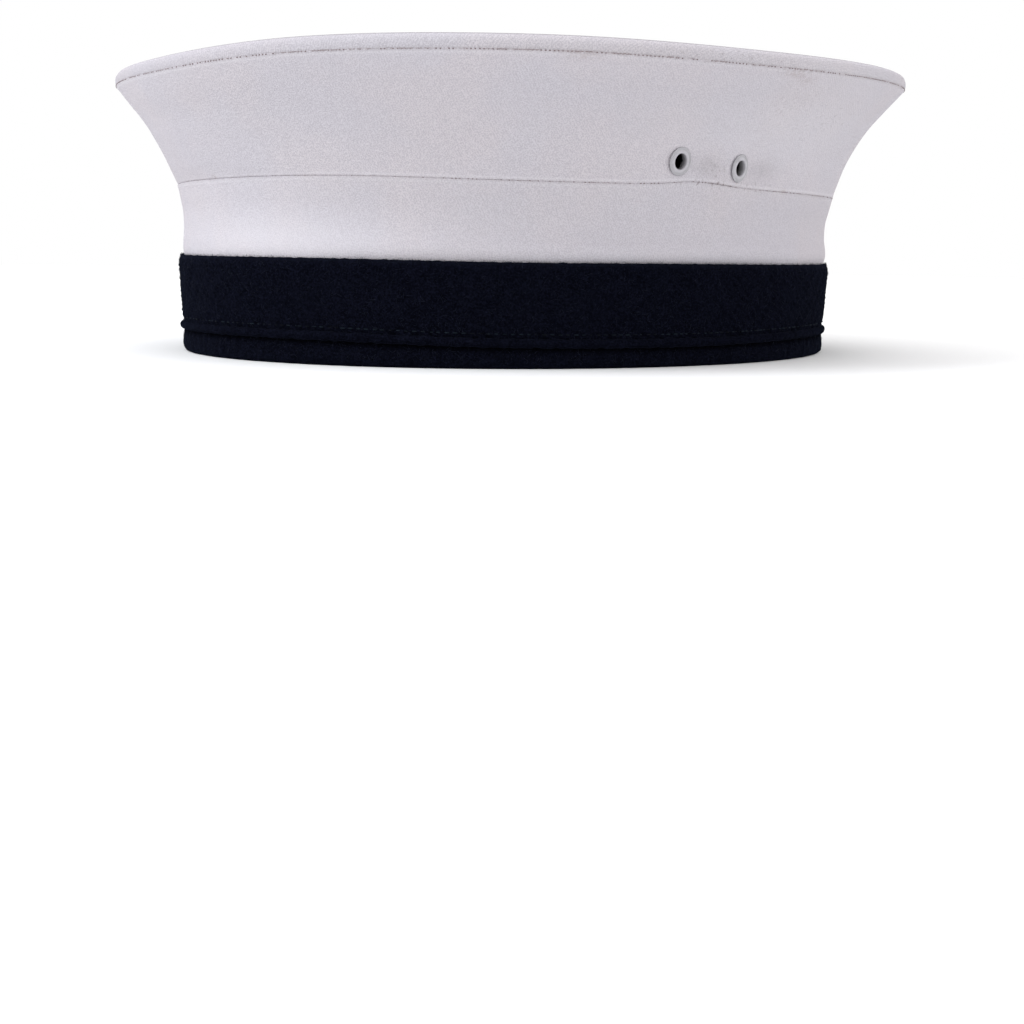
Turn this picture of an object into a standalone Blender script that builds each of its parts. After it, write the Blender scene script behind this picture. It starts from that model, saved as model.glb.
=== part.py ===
"""A sailor cap: white crown and sides over a navy wool band.

Units are metres. The origin is the middle of the oval that the cap rests on, +Z is up,
the front of the cap faces -Y and the wearer's right side faces -X. Angles round the cap
are in degrees from the front, through the wearer's right side.
"""

import math

import bmesh
import bpy
from mathutils import Matrix, Vector

MM = 0.001

# The opening for the head, measured inside the hem, and how much fuller its back half is.
OPENING_LENGTH = 198.0 * MM
OPENING_WIDTH = 164.8 * MM
BACK_FULLNESS = 0.02

# Cloth walls, measured level, and the gap that separate pieces keep.
HEM_WALL = 1.2 * MM
STAND_WALL = 1.5 * MM
BAND_WALL = 1.3 * MM
SIDE_WALL = 1.8 * MM
CROWN_WALL = 1.6 * MM
CLEARANCE = 0.3 * MM

# Heights over the surface that the cap rests on.
BAND_TOP = 27.8 * MM
SEAM_HEIGHT = 48.1 * MM
RIM_HEIGHT = 78.8 * MM

# The outer ovals: the narrow waist above the band, the middle seam and the rim.
WAIST_LENGTH = 205.8 * MM
WAIST_WIDTH = 174.2 * MM
SEAM_LENGTH = 208.6 * MM
SEAM_WIDTH = 179.4 * MM
RIM_LENGTH = 240.6 * MM
RIM_WIDTH = 229.2 * MM

# How far the band leans outwards from its bottom edge to its top edge.
BAND_LEAN = 1.2 * MM

# The rolled rim of the crown, and how far the middle of the crown sags below the rim.
ROLL_RADIUS = 2.8 * MM
ROLL_UNDERCUT = 25.0
CROWN_SAG = 2.4 * MM

# The piping and the folded hem.
WELT_HEIGHT = 7.1 * MM
WELT_RADIUS = 1.05 * MM
WELT_PROUD = 0.8 * MM
HEM_ROLL = 0.9 * MM
HEM_TURN_UP = 11.0 * MM

# Vent eyelets: two on each side, above the middle seam and just in front of the side's middle.
EYELET_SPACING = 21.2 * MM
EYELET_FORWARD = 1.7 * MM
EYELET_RISE = 5.4 * MM
EYELET_SLOPE = 1.0 * MM
EYELET_FLANGE_RADIUS = 3.75 * MM
EYELET_HOLE_RADIUS = 2.1 * MM
EYELET_WALL = 0.5 * MM
EYELET_DOME = 0.4 * MM

# The tallest rise of the wavy rim, of the seams, and of the tuck under the right eyelets.
RIM_WAVE = 2.0 * MM
SEAM_WAVE = 1.0 * MM
TUCK_LIFT = 1.1 * MM
TUCK_PLACE = 91.0
TUCK_SPREAD = 7.0

SEGMENTS = 60
WELT_SIDES = 8
EYELET_SIDES = 12

# Each row is a station round the cap: the angle, then the lift of the rim as a share of
# RIM_WAVE, and the lifts of the middle seam, band top and welt as shares of SEAM_WAVE.
WAVES = (
    {"around": 0, "rim": 0.65, "seam": -0.6, "band": -0.4, "welt": 0.0},
    {"around": 30, "rim": 0.80, "seam": -0.8, "band": -0.4, "welt": 0.0},
    {"around": 60, "rim": 0.20, "seam": -0.8, "band": -0.3, "welt": 0.0},
    {"around": 90, "rim": -0.22, "seam": -0.1, "band": -0.1, "welt": -0.6},
    {"around": 120, "rim": 0.17, "seam": 0.1, "band": -0.1, "welt": -0.4},
    {"around": 150, "rim": 0.12, "seam": 0.9, "band": 0.3, "welt": 0.6},
    {"around": 180, "rim": -0.90, "seam": 0.3, "band": 0.2, "welt": 0.6},
    {"around": 210, "rim": -0.80, "seam": -0.4, "band": 0.1, "welt": 0.3},
    {"around": 240, "rim": -0.45, "seam": -0.4, "band": 0.0, "welt": 0.0},
    {"around": 270, "rim": -0.15, "seam": 0.0, "band": 0.0, "welt": -0.2},
    {"around": 300, "rim": 0.15, "seam": 0.1, "band": -0.1, "welt": 0.0},
    {"around": 330, "rim": 0.45, "seam": -0.2, "band": -0.3, "welt": 0.0},
)

# Sections of the stand from the band top, up 0, to the middle seam, up 1. Out is the share
# of the way from the waist's oval to the seam's oval.
STAND_SECTIONS = (
    {"up": 0.08, "out": 0.22},
    {"up": 0.40, "out": 0.00},
    {"up": 0.62, "out": 0.10},
    {"up": 0.84, "out": 0.62},
    {"up": 1.00, "out": 1.00},
)

# Sections of the flared panel from the middle seam, up 0, to the rim's stitched line, up 1.
# The shares of the flare differ at the front and back, ends, and at the two sides.
FLARE_SECTIONS = (
    {"up": 0.00, "ends": 0.000, "sides": 0.000},
    {"up": 0.10, "ends": 0.100, "sides": 0.012},
    {"up": 0.34, "ends": 0.325, "sides": 0.085},
    {"up": 0.46, "ends": 0.440, "sides": 0.175},
    {"up": 0.58, "ends": 0.550, "sides": 0.305},
    {"up": 0.70, "ends": 0.680, "sides": 0.465},
    {"up": 0.82, "ends": 0.820, "sides": 0.670},
    {"up": 0.92, "ends": 0.925, "sides": 0.850},
    {"up": 1.00, "ends": 1.000, "sides": 1.000},
)

# The flat part of the crown, by its share of the way out from the middle.
CROWN_SHARES = (0.30, 0.55, 0.76, 0.90)

WHITE_COTTON = {"colour": (0.57, 0.54, 0.57, 1.0), "roughness": 0.92, "metallic": 0.0}
NAVY_WOOL = {"colour": (0.006, 0.008, 0.016, 1.0), "roughness": 1.0, "metallic": 0.0}
EYELET_PAINT = {"colour": (0.50, 0.51, 0.52, 1.0), "roughness": 0.38, "metallic": 0.0}


def clear_scene():
    """Removes every object of the scene."""
    for item in list(bpy.data.objects):
        bpy.data.objects.remove(item, do_unlink=True)


def new_collection(name):
    """A collection linked to the scene."""
    collection = bpy.data.collections.new(name)
    bpy.context.scene.collection.children.link(collection)
    return collection


def new_material(name, finish):
    """A Principled material from a finish's colour, roughness and metallic value."""
    material = bpy.data.materials.new(name)
    material.use_nodes = True
    shader = material.node_tree.nodes["Principled BSDF"]
    shader.inputs["Base Color"].default_value = finish["colour"]
    shader.inputs["Roughness"].default_value = finish["roughness"]
    shader.inputs["Metallic"].default_value = finish["metallic"]
    return material


def wave(column, angle):
    """A column of WAVES at any angle, on a smooth curve through its stations."""
    step = 360.0 / len(WAVES)
    place = (angle % 360.0) / step
    first = int(place)
    t = place - first
    before, start, end, after = (WAVES[(first + k) % len(WAVES)][column] for k in (-1, 0, 1, 2))
    return 0.5 * (
        2.0 * start
        + (end - before) * t
        + (2.0 * before - 5.0 * start + 4.0 * end - after) * t * t
        + (3.0 * start - before - 3.0 * end + after) * t * t * t
    )


def rim_lift(angle):
    """How far the rim rises above its mean height."""
    return RIM_WAVE * wave("rim", angle)


def seam_lift(angle):
    """How far the middle seam rises, with the tuck that the right eyelets draw up."""
    tuck = TUCK_LIFT * math.exp(-(((angle - TUCK_PLACE) / TUCK_SPREAD) ** 2))
    return SEAM_WAVE * wave("seam", angle) + tuck


def band_lift(angle):
    """How far the band's top edge rises above its mean height."""
    return SEAM_WAVE * wave("band", angle)


def welt_lift(angle):
    """How far the piping rises above its mean height."""
    return SEAM_WAVE * wave("welt", angle)


def no_lift(angle):
    """The surface that the cap rests on is flat."""
    return 0.0


def oval(length, width, outwards=0.0):
    """An oval's (half length, half width), with both moved outwards by the same distance."""
    return (length / 2.0 + outwards, width / 2.0 + outwards)


def between(first, second, ends, sides=None):
    """The oval at a share of the way from one to another, with its own share at the sides."""
    sides = ends if sides is None else sides
    return (
        first[0] + (second[0] - first[0]) * ends,
        first[1] + (second[1] - first[1]) * sides,
    )


def on_oval(half, angle, height):
    """The point of an oval at an angle round the cap and a height."""
    turn = math.radians(angle)
    fuller = 1.0 - BACK_FULLNESS * math.cos(turn)
    return Vector((-half[1] * math.sin(turn) * fuller, -half[0] * math.cos(turn), height))


def ring(half, height, lift=no_lift):
    """Points once round an oval, each raised by the lift at its angle."""
    angles = [360.0 * k / SEGMENTS for k in range(SEGMENTS)]
    return [on_oval(half, angle, height + lift(angle)) for angle in angles]


def blended_ring(half, low, high, share):
    """Points round an oval whose heights lie at a share between two wavy edges."""
    points = []
    for k in range(SEGMENTS):
        angle = 360.0 * k / SEGMENTS
        bottom = low["height"] + low["lift"](angle)
        top = high["height"] + high["lift"](angle)
        points.append(on_oval(half, angle, bottom + (top - bottom) * share))
    return points


# The ovals and edges that the pieces share.
BODY = oval(
    OPENING_LENGTH,
    OPENING_WIDTH,
    HEM_WALL + CLEARANCE + STAND_WALL + CLEARANCE + BAND_WALL,
)
WAIST = oval(WAIST_LENGTH, WAIST_WIDTH)
SEAM = oval(SEAM_LENGTH, SEAM_WIDTH)
RIM = oval(RIM_LENGTH, RIM_WIDTH)
UNDERCUT_DROP = ROLL_RADIUS * math.sin(math.radians(ROLL_UNDERCUT))
UNDERCUT_REACH = ROLL_RADIUS * math.cos(math.radians(ROLL_UNDERCUT))
STITCH_HEIGHT = RIM_HEIGHT - UNDERCUT_DROP
BAND_BOTTOM = WELT_HEIGHT + WELT_RADIUS + CLEARANCE
BAND_EDGE = {"height": BAND_TOP, "lift": band_lift}
SEAM_EDGE = {"height": SEAM_HEIGHT, "lift": seam_lift}
STITCH_EDGE = {"height": STITCH_HEIGHT, "lift": rim_lift}


def grown(half, outwards):
    """An oval moved outwards by a distance, or inwards if it is negative."""
    return (half[0] + outwards, half[1] + outwards)


def raised(points, height):
    """The same points, higher."""
    return [point + Vector((0.0, 0.0, height)) for point in points]


def loft(name, rings, collection, material, poles=None):
    """A closed body through rings of points, which run from the inside of the wall round
    to its outside. With poles it ends in a point at each end; without, the last ring
    joins the first and the body goes round the cap as a tube does."""
    shape = bmesh.new()
    rows = [[shape.verts.new(point) for point in points] for points in rings]
    joins = list(zip(rows, rows[1:]))
    if poles is None:
        joins.append((rows[-1], rows[0]))
    for lower, upper in joins:
        for k in range(SEGMENTS):
            after = (k + 1) % SEGMENTS
            shape.faces.new((lower[k], lower[after], upper[after], upper[k]))
    if poles is not None:
        for row, pole in ((rows[0], poles[0]), (rows[-1], poles[1])):
            tip = shape.verts.new(pole)
            for k in range(SEGMENTS):
                shape.faces.new((row[k], row[(k + 1) % SEGMENTS], tip))
    bmesh.ops.recalc_face_normals(shape, faces=shape.faces)
    mesh = bpy.data.meshes.new(name)
    shape.to_mesh(mesh)
    shape.free()
    return finished(name, mesh, collection, material)


def finished(name, mesh, collection, material, sharp_angle=50.0):
    """An object with a smooth-shaded mesh and one material."""
    mesh.materials.append(material)
    mesh.shade_smooth()
    mesh.set_sharp_from_angle(angle=math.radians(sharp_angle))
    item = bpy.data.objects.new(name, mesh)
    collection.objects.link(item)
    return item


def crown_ring(share, drop=0.0):
    """A ring of the crown's flat part, lower towards the middle, where the cloth sags."""
    edge = grown(RIM, -ROLL_RADIUS)
    half = (edge[0] * share, edge[1] * share)
    height = RIM_HEIGHT + ROLL_RADIUS - CROWN_SAG * (1.0 - share * share) - drop
    return ring(half, height, lambda angle: rim_lift(angle) * share * share)


def roll_ring(radius, degrees):
    """A ring round the rim's roll, at degrees above the level of its middle."""
    turn = math.radians(degrees)
    half = grown(RIM, radius * math.cos(turn) - ROLL_RADIUS)
    return ring(half, RIM_HEIGHT + radius * math.sin(turn), rim_lift)


def make_crown_top(collection, material):
    """The disc of the crown and its edge, which rolls over the rim to the stitched line."""
    inner_radius = ROLL_RADIUS - CROWN_WALL
    inner_end = -math.degrees(math.asin(min(1.0, UNDERCUT_DROP / inner_radius)))
    underside = [crown_ring(share, CROWN_WALL) for share in CROWN_SHARES]
    inside = [roll_ring(inner_radius, degrees) for degrees in (90.0, 35.0, inner_end)]
    outside = [roll_ring(ROLL_RADIUS, degrees) for degrees in (-ROLL_UNDERCUT, 5.0, 35.0, 62.0, 90.0)]
    upside = [crown_ring(share) for share in reversed(CROWN_SHARES)]
    top = RIM_HEIGHT + ROLL_RADIUS - CROWN_SAG
    poles = ((0.0, 0.0, top - CROWN_WALL), (0.0, 0.0, top))
    rings = underside + inside + outside + upside
    return loft("crown_top", rings, collection, material, poles)


def flare_point(share_ends, share_sides):
    """The oval of the flared panel's outer face at its two shares of the flare."""
    stitched = grown(RIM, UNDERCUT_REACH - ROLL_RADIUS - CLEARANCE)
    return between(SEAM, stitched, share_ends, share_sides)


def make_upper_side(collection, material):
    """The flared panel between the middle seam and the rim's stitched line."""
    outside = []
    inside = []
    for row in FLARE_SECTIONS:
        half = flare_point(row["ends"], row["sides"])
        gap = CLEARANCE * (0.5 - 1.5 * row["up"])
        outside.append(raised(blended_ring(half, SEAM_EDGE, STITCH_EDGE, row["up"]), gap))
        half = grown(half, -SIDE_WALL)
        inside.append(raised(blended_ring(half, SEAM_EDGE, STITCH_EDGE, row["up"]), gap))
    return loft("upper_side", outside + inside[::-1], collection, material)


def make_lower_side(collection, material):
    """The stand: its part behind the band leans as the band does, the rest is waisted."""
    foot = grown(BODY, -BAND_WALL - CLEARANCE)
    head = grown(foot, BAND_LEAN)
    foot_height = HEM_WALL + CLEARANCE
    outside = [
        ring(foot, foot_height),
        ring(foot, BAND_BOTTOM, welt_lift),
        ring(head, BAND_TOP, band_lift),
    ]
    ovals = [foot, foot, head]
    for row in STAND_SECTIONS:
        half = between(WAIST, SEAM, row["out"])
        gap = -0.5 * CLEARANCE * row["up"]
        outside.append(raised(blended_ring(half, BAND_EDGE, SEAM_EDGE, row["up"]), gap))
        ovals.append(half)
    inside = []
    for points, half in zip(outside, ovals):
        inner = ring(grown(half, -STAND_WALL), 0.0)
        inside.append([Vector((p.x, p.y, q.z)) for p, q in zip(inner, points)])
    return loft("lower_side", outside + inside[::-1], collection, material)


def make_band(collection, material):
    """The navy band round the stand, from just above the piping to its top edge."""
    edge_round = 0.3 * BAND_WALL
    sections = (
        (BODY, -BAND_WALL, BAND_BOTTOM, welt_lift),
        (BODY, 0.0, BAND_BOTTOM, welt_lift),
        (grown(BODY, BAND_LEAN), 0.0, BAND_TOP - 2.0 * edge_round, band_lift),
        (grown(BODY, BAND_LEAN), -edge_round, BAND_TOP, band_lift),
        (grown(BODY, BAND_LEAN), -BAND_WALL, BAND_TOP, band_lift),
    )
    rings = [ring(grown(half, outwards), height, lift) for half, outwards, height, lift in sections]
    return loft("band", rings, collection, material)


def make_welt(collection, material):
    """The piping, a thin bead round the cap between the band and the hem."""
    middle = WELT_PROUD - WELT_RADIUS
    rings = []
    for k in range(WELT_SIDES):
        turn = 2.0 * math.pi * k / WELT_SIDES
        half = grown(BODY, middle + WELT_RADIUS * math.cos(turn))
        rings.append(ring(half, WELT_HEIGHT + WELT_RADIUS * math.sin(turn), welt_lift))
    return loft("welt", rings, collection, material)


def make_hem(collection, material):
    """Wool folded under the stand: a round roll outside, flat below, a turn-up inside."""
    leaf_top = WELT_HEIGHT - WELT_RADIUS - CLEARANCE
    stand_outer = -BAND_WALL - CLEARANCE
    stand_inner = stand_outer - STAND_WALL
    inner = stand_inner - CLEARANCE - HEM_WALL
    sections = (
        (-HEM_ROLL, 0.0, no_lift),
        (-0.3 * HEM_ROLL, 0.3 * HEM_ROLL, no_lift),
        (0.0, HEM_ROLL, no_lift),
        (0.0, leaf_top - HEM_ROLL, welt_lift),
        (-0.6 * HEM_ROLL, leaf_top, welt_lift),
        (stand_outer + CLEARANCE, leaf_top, welt_lift),
        (stand_outer + CLEARANCE, HEM_WALL, no_lift),
        (stand_inner - CLEARANCE, HEM_WALL, no_lift),
        (stand_inner - CLEARANCE, HEM_TURN_UP, no_lift),
        (inner, HEM_TURN_UP, no_lift),
        (inner, 0.5 * HEM_ROLL, no_lift),
        (inner + 0.5 * HEM_ROLL, 0.0, no_lift),
    )
    rings = [ring(grown(BODY, outwards), height, lift) for outwards, height, lift in sections]
    return loft("hem", rings, collection, material)


def flare_shares(up):
    """The two shares of the flare at a height between FLARE_SECTIONS' rows."""
    for low, high in zip(FLARE_SECTIONS, FLARE_SECTIONS[1:]):
        if up <= high["up"]:
            break
    t = (up - low["up"]) / (high["up"] - low["up"])
    return tuple(low[name] + (high[name] - low[name]) * t for name in ("ends", "sides"))


def wall_point(angle, height):
    """The point of the flared panel's outer face at an angle and a height."""
    low = SEAM_HEIGHT + seam_lift(angle)
    up = (height - low) / (STITCH_HEIGHT + rim_lift(angle) - low)
    return on_oval(flare_point(*flare_shares(up)), angle, height)


def turn_for(length):
    """The angle round the cap, in degrees, that a short length along its side takes up."""
    return math.degrees(length / (SEAM_LENGTH / 2.0))


def eyelet_frame(angle, height):
    """A matrix whose origin is on the panel and whose Z axis points straight out of it."""
    radius = EYELET_FLANGE_RADIUS
    reach = turn_for(radius)
    along = wall_point(angle + reach, height) - wall_point(angle - reach, height)
    upward = wall_point(angle, height + radius) - wall_point(angle, height - radius)
    outward = along.cross(upward).normalized()
    origin = wall_point(angle, height)
    if outward.dot(Vector((origin.x, origin.y, 0.0))) < 0.0:
        outward.negate()
    turned = outward.to_track_quat("Z", "Y").to_matrix().to_4x4()
    return Matrix.Translation(origin) @ turned


def eyelet_bed(frame, angle, height):
    """The highest and lowest that the panel lies under a flange, over its frame's origin."""
    panel_to_frame = frame.inverted()
    heights = [0.0]
    for radius in (0.5 * EYELET_FLANGE_RADIUS, EYELET_FLANGE_RADIUS):
        for k in range(EYELET_SIDES):
            turn = 2.0 * math.pi * k / EYELET_SIDES
            around = angle + turn_for(radius * math.cos(turn))
            point = wall_point(around, height + radius * math.sin(turn))
            heights.append((panel_to_frame @ point).z)
    return {"high": max(heights), "low": min(heights)}


def eyelet_places():
    """Each eyelet's name, angle round the cap and height. The left pair mirrors the right."""
    middle = 90.0 - turn_for(EYELET_FORWARD)
    step = turn_for(EYELET_SPACING / 2.0)
    height = SEAM_HEIGHT + EYELET_RISE
    places = []
    for name, offset, rise in (("rear", step, EYELET_SLOPE / 2.0), ("front", -step, -EYELET_SLOPE / 2.0)):
        places.append((f"eyelet_right_{name}", middle + offset, height + rise))
        places.append((f"eyelet_left_{name}", 360.0 - middle - offset, height + rise))
    return places


def make_eyelet(name, frame, bed, collection, material):
    """A clinched eyelet: a domed flange outside, a barrel and a flat flange inside. The
    flanges clear the highest and the lowest of the panel that they lie on."""
    bore = EYELET_HOLE_RADIUS
    barrel = bore + EYELET_WALL
    seat = bed["high"] + CLEARANCE
    back = bed["low"] - SIDE_WALL - CLEARANCE
    dome = seat + EYELET_DOME
    profile = (
        (bore, dome - 0.3 * EYELET_DOME),
        (bore + 0.5 * EYELET_WALL, dome),
        (barrel + 0.4 * EYELET_WALL, dome),
        (EYELET_FLANGE_RADIUS, seat + 0.4 * EYELET_DOME),
        (EYELET_FLANGE_RADIUS, seat),
        (barrel, seat),
        (barrel, back),
        (EYELET_FLANGE_RADIUS, back),
        (EYELET_FLANGE_RADIUS, back - EYELET_WALL),
        (bore, back - EYELET_WALL),
    )
    mesh = bpy.data.meshes.new(name)
    points = [(radius, 0.0, height) for radius, height in profile]
    edges = [(k, (k + 1) % len(points)) for k in range(len(points))]
    mesh.from_pydata(points, edges, [])
    item = finished(name, mesh, collection, material)
    turned = item.modifiers.new("turned", "SCREW")
    turned.steps = EYELET_SIDES
    turned.render_steps = EYELET_SIDES
    turned.use_merge_vertices = True
    turned.merge_threshold = 1e-5
    turned.use_normal_calculate = True
    item.matrix_world = frame
    return item


def cut_vent(panel, name, frame, cutters):
    """Cuts the hole that an eyelet's barrel passes through."""
    radius = EYELET_HOLE_RADIUS + EYELET_WALL + CLEARANCE
    depth = 4.0 * SIDE_WALL
    bpy.ops.mesh.primitive_cylinder_add(vertices=EYELET_SIDES, radius=radius, depth=depth)
    cutter = bpy.context.object
    cutter.name = name
    cutter.matrix_world = frame
    cutter.hide_render = True
    cutter.display_type = "WIRE"
    for collection in list(cutter.users_collection):
        collection.objects.unlink(cutter)
    cutters.objects.link(cutter)
    cut = panel.modifiers.new(name, "BOOLEAN")
    cut.operation = "DIFFERENCE"
    cut.object = cutter


def main():
    """Builds the cap, piece by piece."""
    clear_scene()
    parts = new_collection("sailor_cap")
    cutters = new_collection("cutters")
    white = new_material("white_cotton", WHITE_COTTON)
    navy = new_material("navy_wool", NAVY_WOOL)
    paint = new_material("eyelet_paint", EYELET_PAINT)
    make_crown_top(parts, white)
    panel = make_upper_side(parts, white)
    make_lower_side(parts, white)
    make_band(parts, navy)
    make_welt(parts, navy)
    make_hem(parts, navy)
    for name, angle, height in eyelet_places():
        frame = eyelet_frame(angle, height)
        make_eyelet(name, frame, eyelet_bed(frame, angle, height), parts, paint)
        cut_vent(panel, name.replace("eyelet", "cut"), frame, cutters)


main()
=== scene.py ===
"""The looks of a sailor cap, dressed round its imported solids.

White cotton twill is stretched over the crown and its flared side, navy wool goes round the
band and the hem, and painted eyelets vent each side. Lengths are metres in the solids' own
frame: +Z is up, the front of the cap faces -Y and the wearer's right side faces -X. Angles
round the cap run from the front through the wearer's right side.
"""

import logging
import math
from abc import ABC, abstractmethod
from collections.abc import Mapping, Sequence
from dataclasses import dataclass, replace
from enum import Enum
from functools import cached_property
from typing import Union

import bpy
import numpy as np
import numpy.typing as npt
from mathutils import Matrix, Vector


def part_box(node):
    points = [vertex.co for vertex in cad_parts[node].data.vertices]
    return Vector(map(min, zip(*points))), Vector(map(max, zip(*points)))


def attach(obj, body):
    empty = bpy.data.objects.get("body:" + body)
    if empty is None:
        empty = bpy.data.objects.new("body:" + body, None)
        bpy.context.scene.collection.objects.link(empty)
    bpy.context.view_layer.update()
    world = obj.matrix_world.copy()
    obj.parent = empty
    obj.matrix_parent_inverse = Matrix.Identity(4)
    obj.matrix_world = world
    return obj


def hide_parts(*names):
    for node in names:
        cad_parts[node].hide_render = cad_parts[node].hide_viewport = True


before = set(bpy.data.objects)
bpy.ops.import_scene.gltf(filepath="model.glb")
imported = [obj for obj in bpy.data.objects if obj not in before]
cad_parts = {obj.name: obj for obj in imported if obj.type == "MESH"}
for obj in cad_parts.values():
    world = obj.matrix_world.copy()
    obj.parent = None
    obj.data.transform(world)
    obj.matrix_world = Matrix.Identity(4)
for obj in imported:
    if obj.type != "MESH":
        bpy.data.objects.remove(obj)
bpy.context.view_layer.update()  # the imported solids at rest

Array = npt.NDArray[np.float64]
Colour = tuple[float, float, float, float]
Value = Union["Wire", float, Sequence[float]]

MM = 0.001
FULL_TURN = 2.0 * math.pi
LOG = logging.getLogger("sailor_cap")

# How much fuller the back half of the cap's ovals is, and the tallest rises of its edges.
BACK_FULLNESS = 0.02
RIM_WAVE = 2.0 * MM
SEAM_WAVE = 1.0 * MM
TUCK_LIFT = 1.1 * MM
TUCK_PLACE = math.radians(91.0)
TUCK_SPREAD = math.radians(7.0)

# The ridge that cloth forms beside a sewn edge.
RIDGE_RISE = 0.18 * MM
RIDGE_WIDTH = 0.75 * MM


class Cut(Enum):
    """How a cloth was cut flat, which sets the way that its weave runs."""

    STRIP = "a straight strip"
    SECTOR = "a curved strip, which flares when it is closed to a ring"
    DISC = "a disc"


class Side(Enum):
    """A side of the cap, by the way that angles run away from the front on it."""

    RIGHT = 1
    LEFT = -1


@dataclass(frozen=True)
class Station:
    """The lifts of the wavy edges at one angle, as shares of the tallest lift."""

    around: float
    rim: float
    seam: float
    band: float
    welt: float


@dataclass(frozen=True)
class Section:
    """One height of a wall, as a share of the way up, and its shares of the flare."""

    up: float
    ends: float
    sides: float


@dataclass(frozen=True)
class Spot:
    """A soft round place on the side of the cap: a stain, or a pool of light painted lighter than
    the rest.
    """

    around: float
    height: float
    wide: float
    tall: float
    amount: float


# The columns are the angle in degrees, then the rim, the middle seam, the band and the welt.
WAVES = (
    Station(0, 0.65, -0.6, -0.4, 0.0),
    Station(30, 0.80, -0.8, -0.4, 0.0),
    Station(60, 0.20, -0.8, -0.3, 0.0),
    Station(90, -0.22, -0.1, -0.1, -0.6),
    Station(120, 0.17, 0.1, -0.1, -0.4),
    Station(150, 0.12, 0.9, 0.3, 0.6),
    Station(180, -0.90, 0.3, 0.2, 0.6),
    Station(210, -0.80, -0.4, 0.1, 0.3),
    Station(240, -0.45, -0.4, 0.0, 0.0),
    Station(270, -0.15, 0.0, 0.0, -0.2),
    Station(300, 0.15, 0.1, -0.1, 0.0),
    Station(330, 0.45, -0.2, -0.3, 0.0),
)

# The flared panel, from the middle seam up to the rim's stitched line.
FLARE = (
    Section(0.00, 0.000, 0.000),
    Section(0.10, 0.100, 0.012),
    Section(0.34, 0.325, 0.085),
    Section(0.46, 0.440, 0.175),
    Section(0.58, 0.550, 0.305),
    Section(0.70, 0.680, 0.465),
    Section(0.82, 0.820, 0.670),
    Section(0.92, 0.925, 0.850),
    Section(1.00, 1.000, 1.000),
)

# The stand, from the band's top edge up to the middle seam, between its waist and the seam.
STAND = (
    Section(0.08, 0.22, 0.22),
    Section(0.40, 0.00, 0.00),
    Section(0.62, 0.10, 0.10),
    Section(0.84, 0.62, 0.62),
    Section(1.00, 1.00, 1.00),
)


def wave(column: str, around: Array) -> Array:
    """A column of WAVES at any angle: a cubic through each four stations in turn.

    Args:
        column: The name of the column.
        around: Angles round the cap, in radians.

    Returns:
        The lift at each angle, as a share of the tallest.
    """
    values = np.array([getattr(row, column) for row in WAVES])
    place = np.mod(around, FULL_TURN) / FULL_TURN * len(WAVES)
    first = np.floor(place).astype(int)
    t = place - first
    before, start, end, after = (values[(first + k) % len(WAVES)] for k in (-1, 0, 1, 2))
    return 0.5 * (
        2.0 * start
        + (end - before) * t
        + (2.0 * before - 5.0 * start + 4.0 * end - after) * t**2
        + (3.0 * start - before - 3.0 * end + after) * t**3
    )


def smooth_curve(at: Array, knots: Sequence[float], values: Sequence[float]) -> Array:
    """A smooth curve through knots: a cubic between two knots, whose slope at each knot is
    the mean of the slopes beside it, weighted towards the shorter step.

    Args:
        at: Where the curve is read.
        knots: Rising places of the knots.
        values: The curve's value at each knot.

    Returns:
        The curve's values, in the shape of at.
    """
    knots = np.asarray(knots, dtype=float)
    values = np.asarray(values, dtype=float)
    steps = np.diff(knots)
    slopes = np.diff(values) / steps
    inner = (slopes[:-1] * steps[1:] + slopes[1:] * steps[:-1]) / (steps[:-1] + steps[1:])
    tangents = np.concatenate([slopes[:1], inner, slopes[-1:]])
    place = np.clip(np.searchsorted(knots, at, side="right") - 1, 0, len(steps) - 1)
    t = (at - knots[place]) / steps[place]
    return (
        values[place] * (1.0 + 2.0 * t) * (1.0 - t) ** 2
        + values[place + 1] * t**2 * (3.0 - 2.0 * t)
        + steps[place] * t * (1.0 - t) * (tangents[place] * (1.0 - t) - tangents[place + 1] * t)
    )


def place_round(half_length: Array, half_width: Array, height: Array, around: Array) -> Array:
    """Points on ovals: x is minus the half width times the sine of the angle, fuller at the
    back, y is minus the half length times its cosine, and z is the height.

    Args:
        half_length: Half the oval's length, along Y.
        half_width: Half the oval's width, along X.
        height: The height of each point.
        around: Angles round the cap, in radians.

    Returns:
        The points, with x, y and z along the last axis.
    """
    fuller = 1.0 - BACK_FULLNESS * np.cos(around)
    across = -half_width * np.sin(around) * fuller
    endwise = -half_length * np.cos(around)
    return np.stack(np.broadcast_arrays(across, endwise, height), axis=-1)


def unit(vectors: Array) -> Array:
    """The same vectors, each one long."""
    return vectors / np.linalg.norm(vectors, axis=-1, keepdims=True)


def turns(count: int) -> Array:
    """Even angles once round, in radians, from nothing to one step short of a full turn."""
    return np.linspace(0.0, FULL_TURN, count, endpoint=False)


def bell(distance: Array) -> Array:
    """The exponential of minus the squared distance: 1 at nothing and almost 0 beyond 2."""
    return np.exp(-(distance**2))


def nearness(around: Array, place: float) -> Array:
    """From 1 at one angle round the cap down to 0 opposite it, as a cosine falls."""
    return 0.5 + 0.5 * np.cos(around - place)


def arc_from(place: float, around: Array, radius: float) -> Array:
    """The lengths round the cap from one angle to others, the shorter way."""
    return (np.mod(around - place + math.pi, FULL_TURN) - math.pi) * radius


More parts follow.
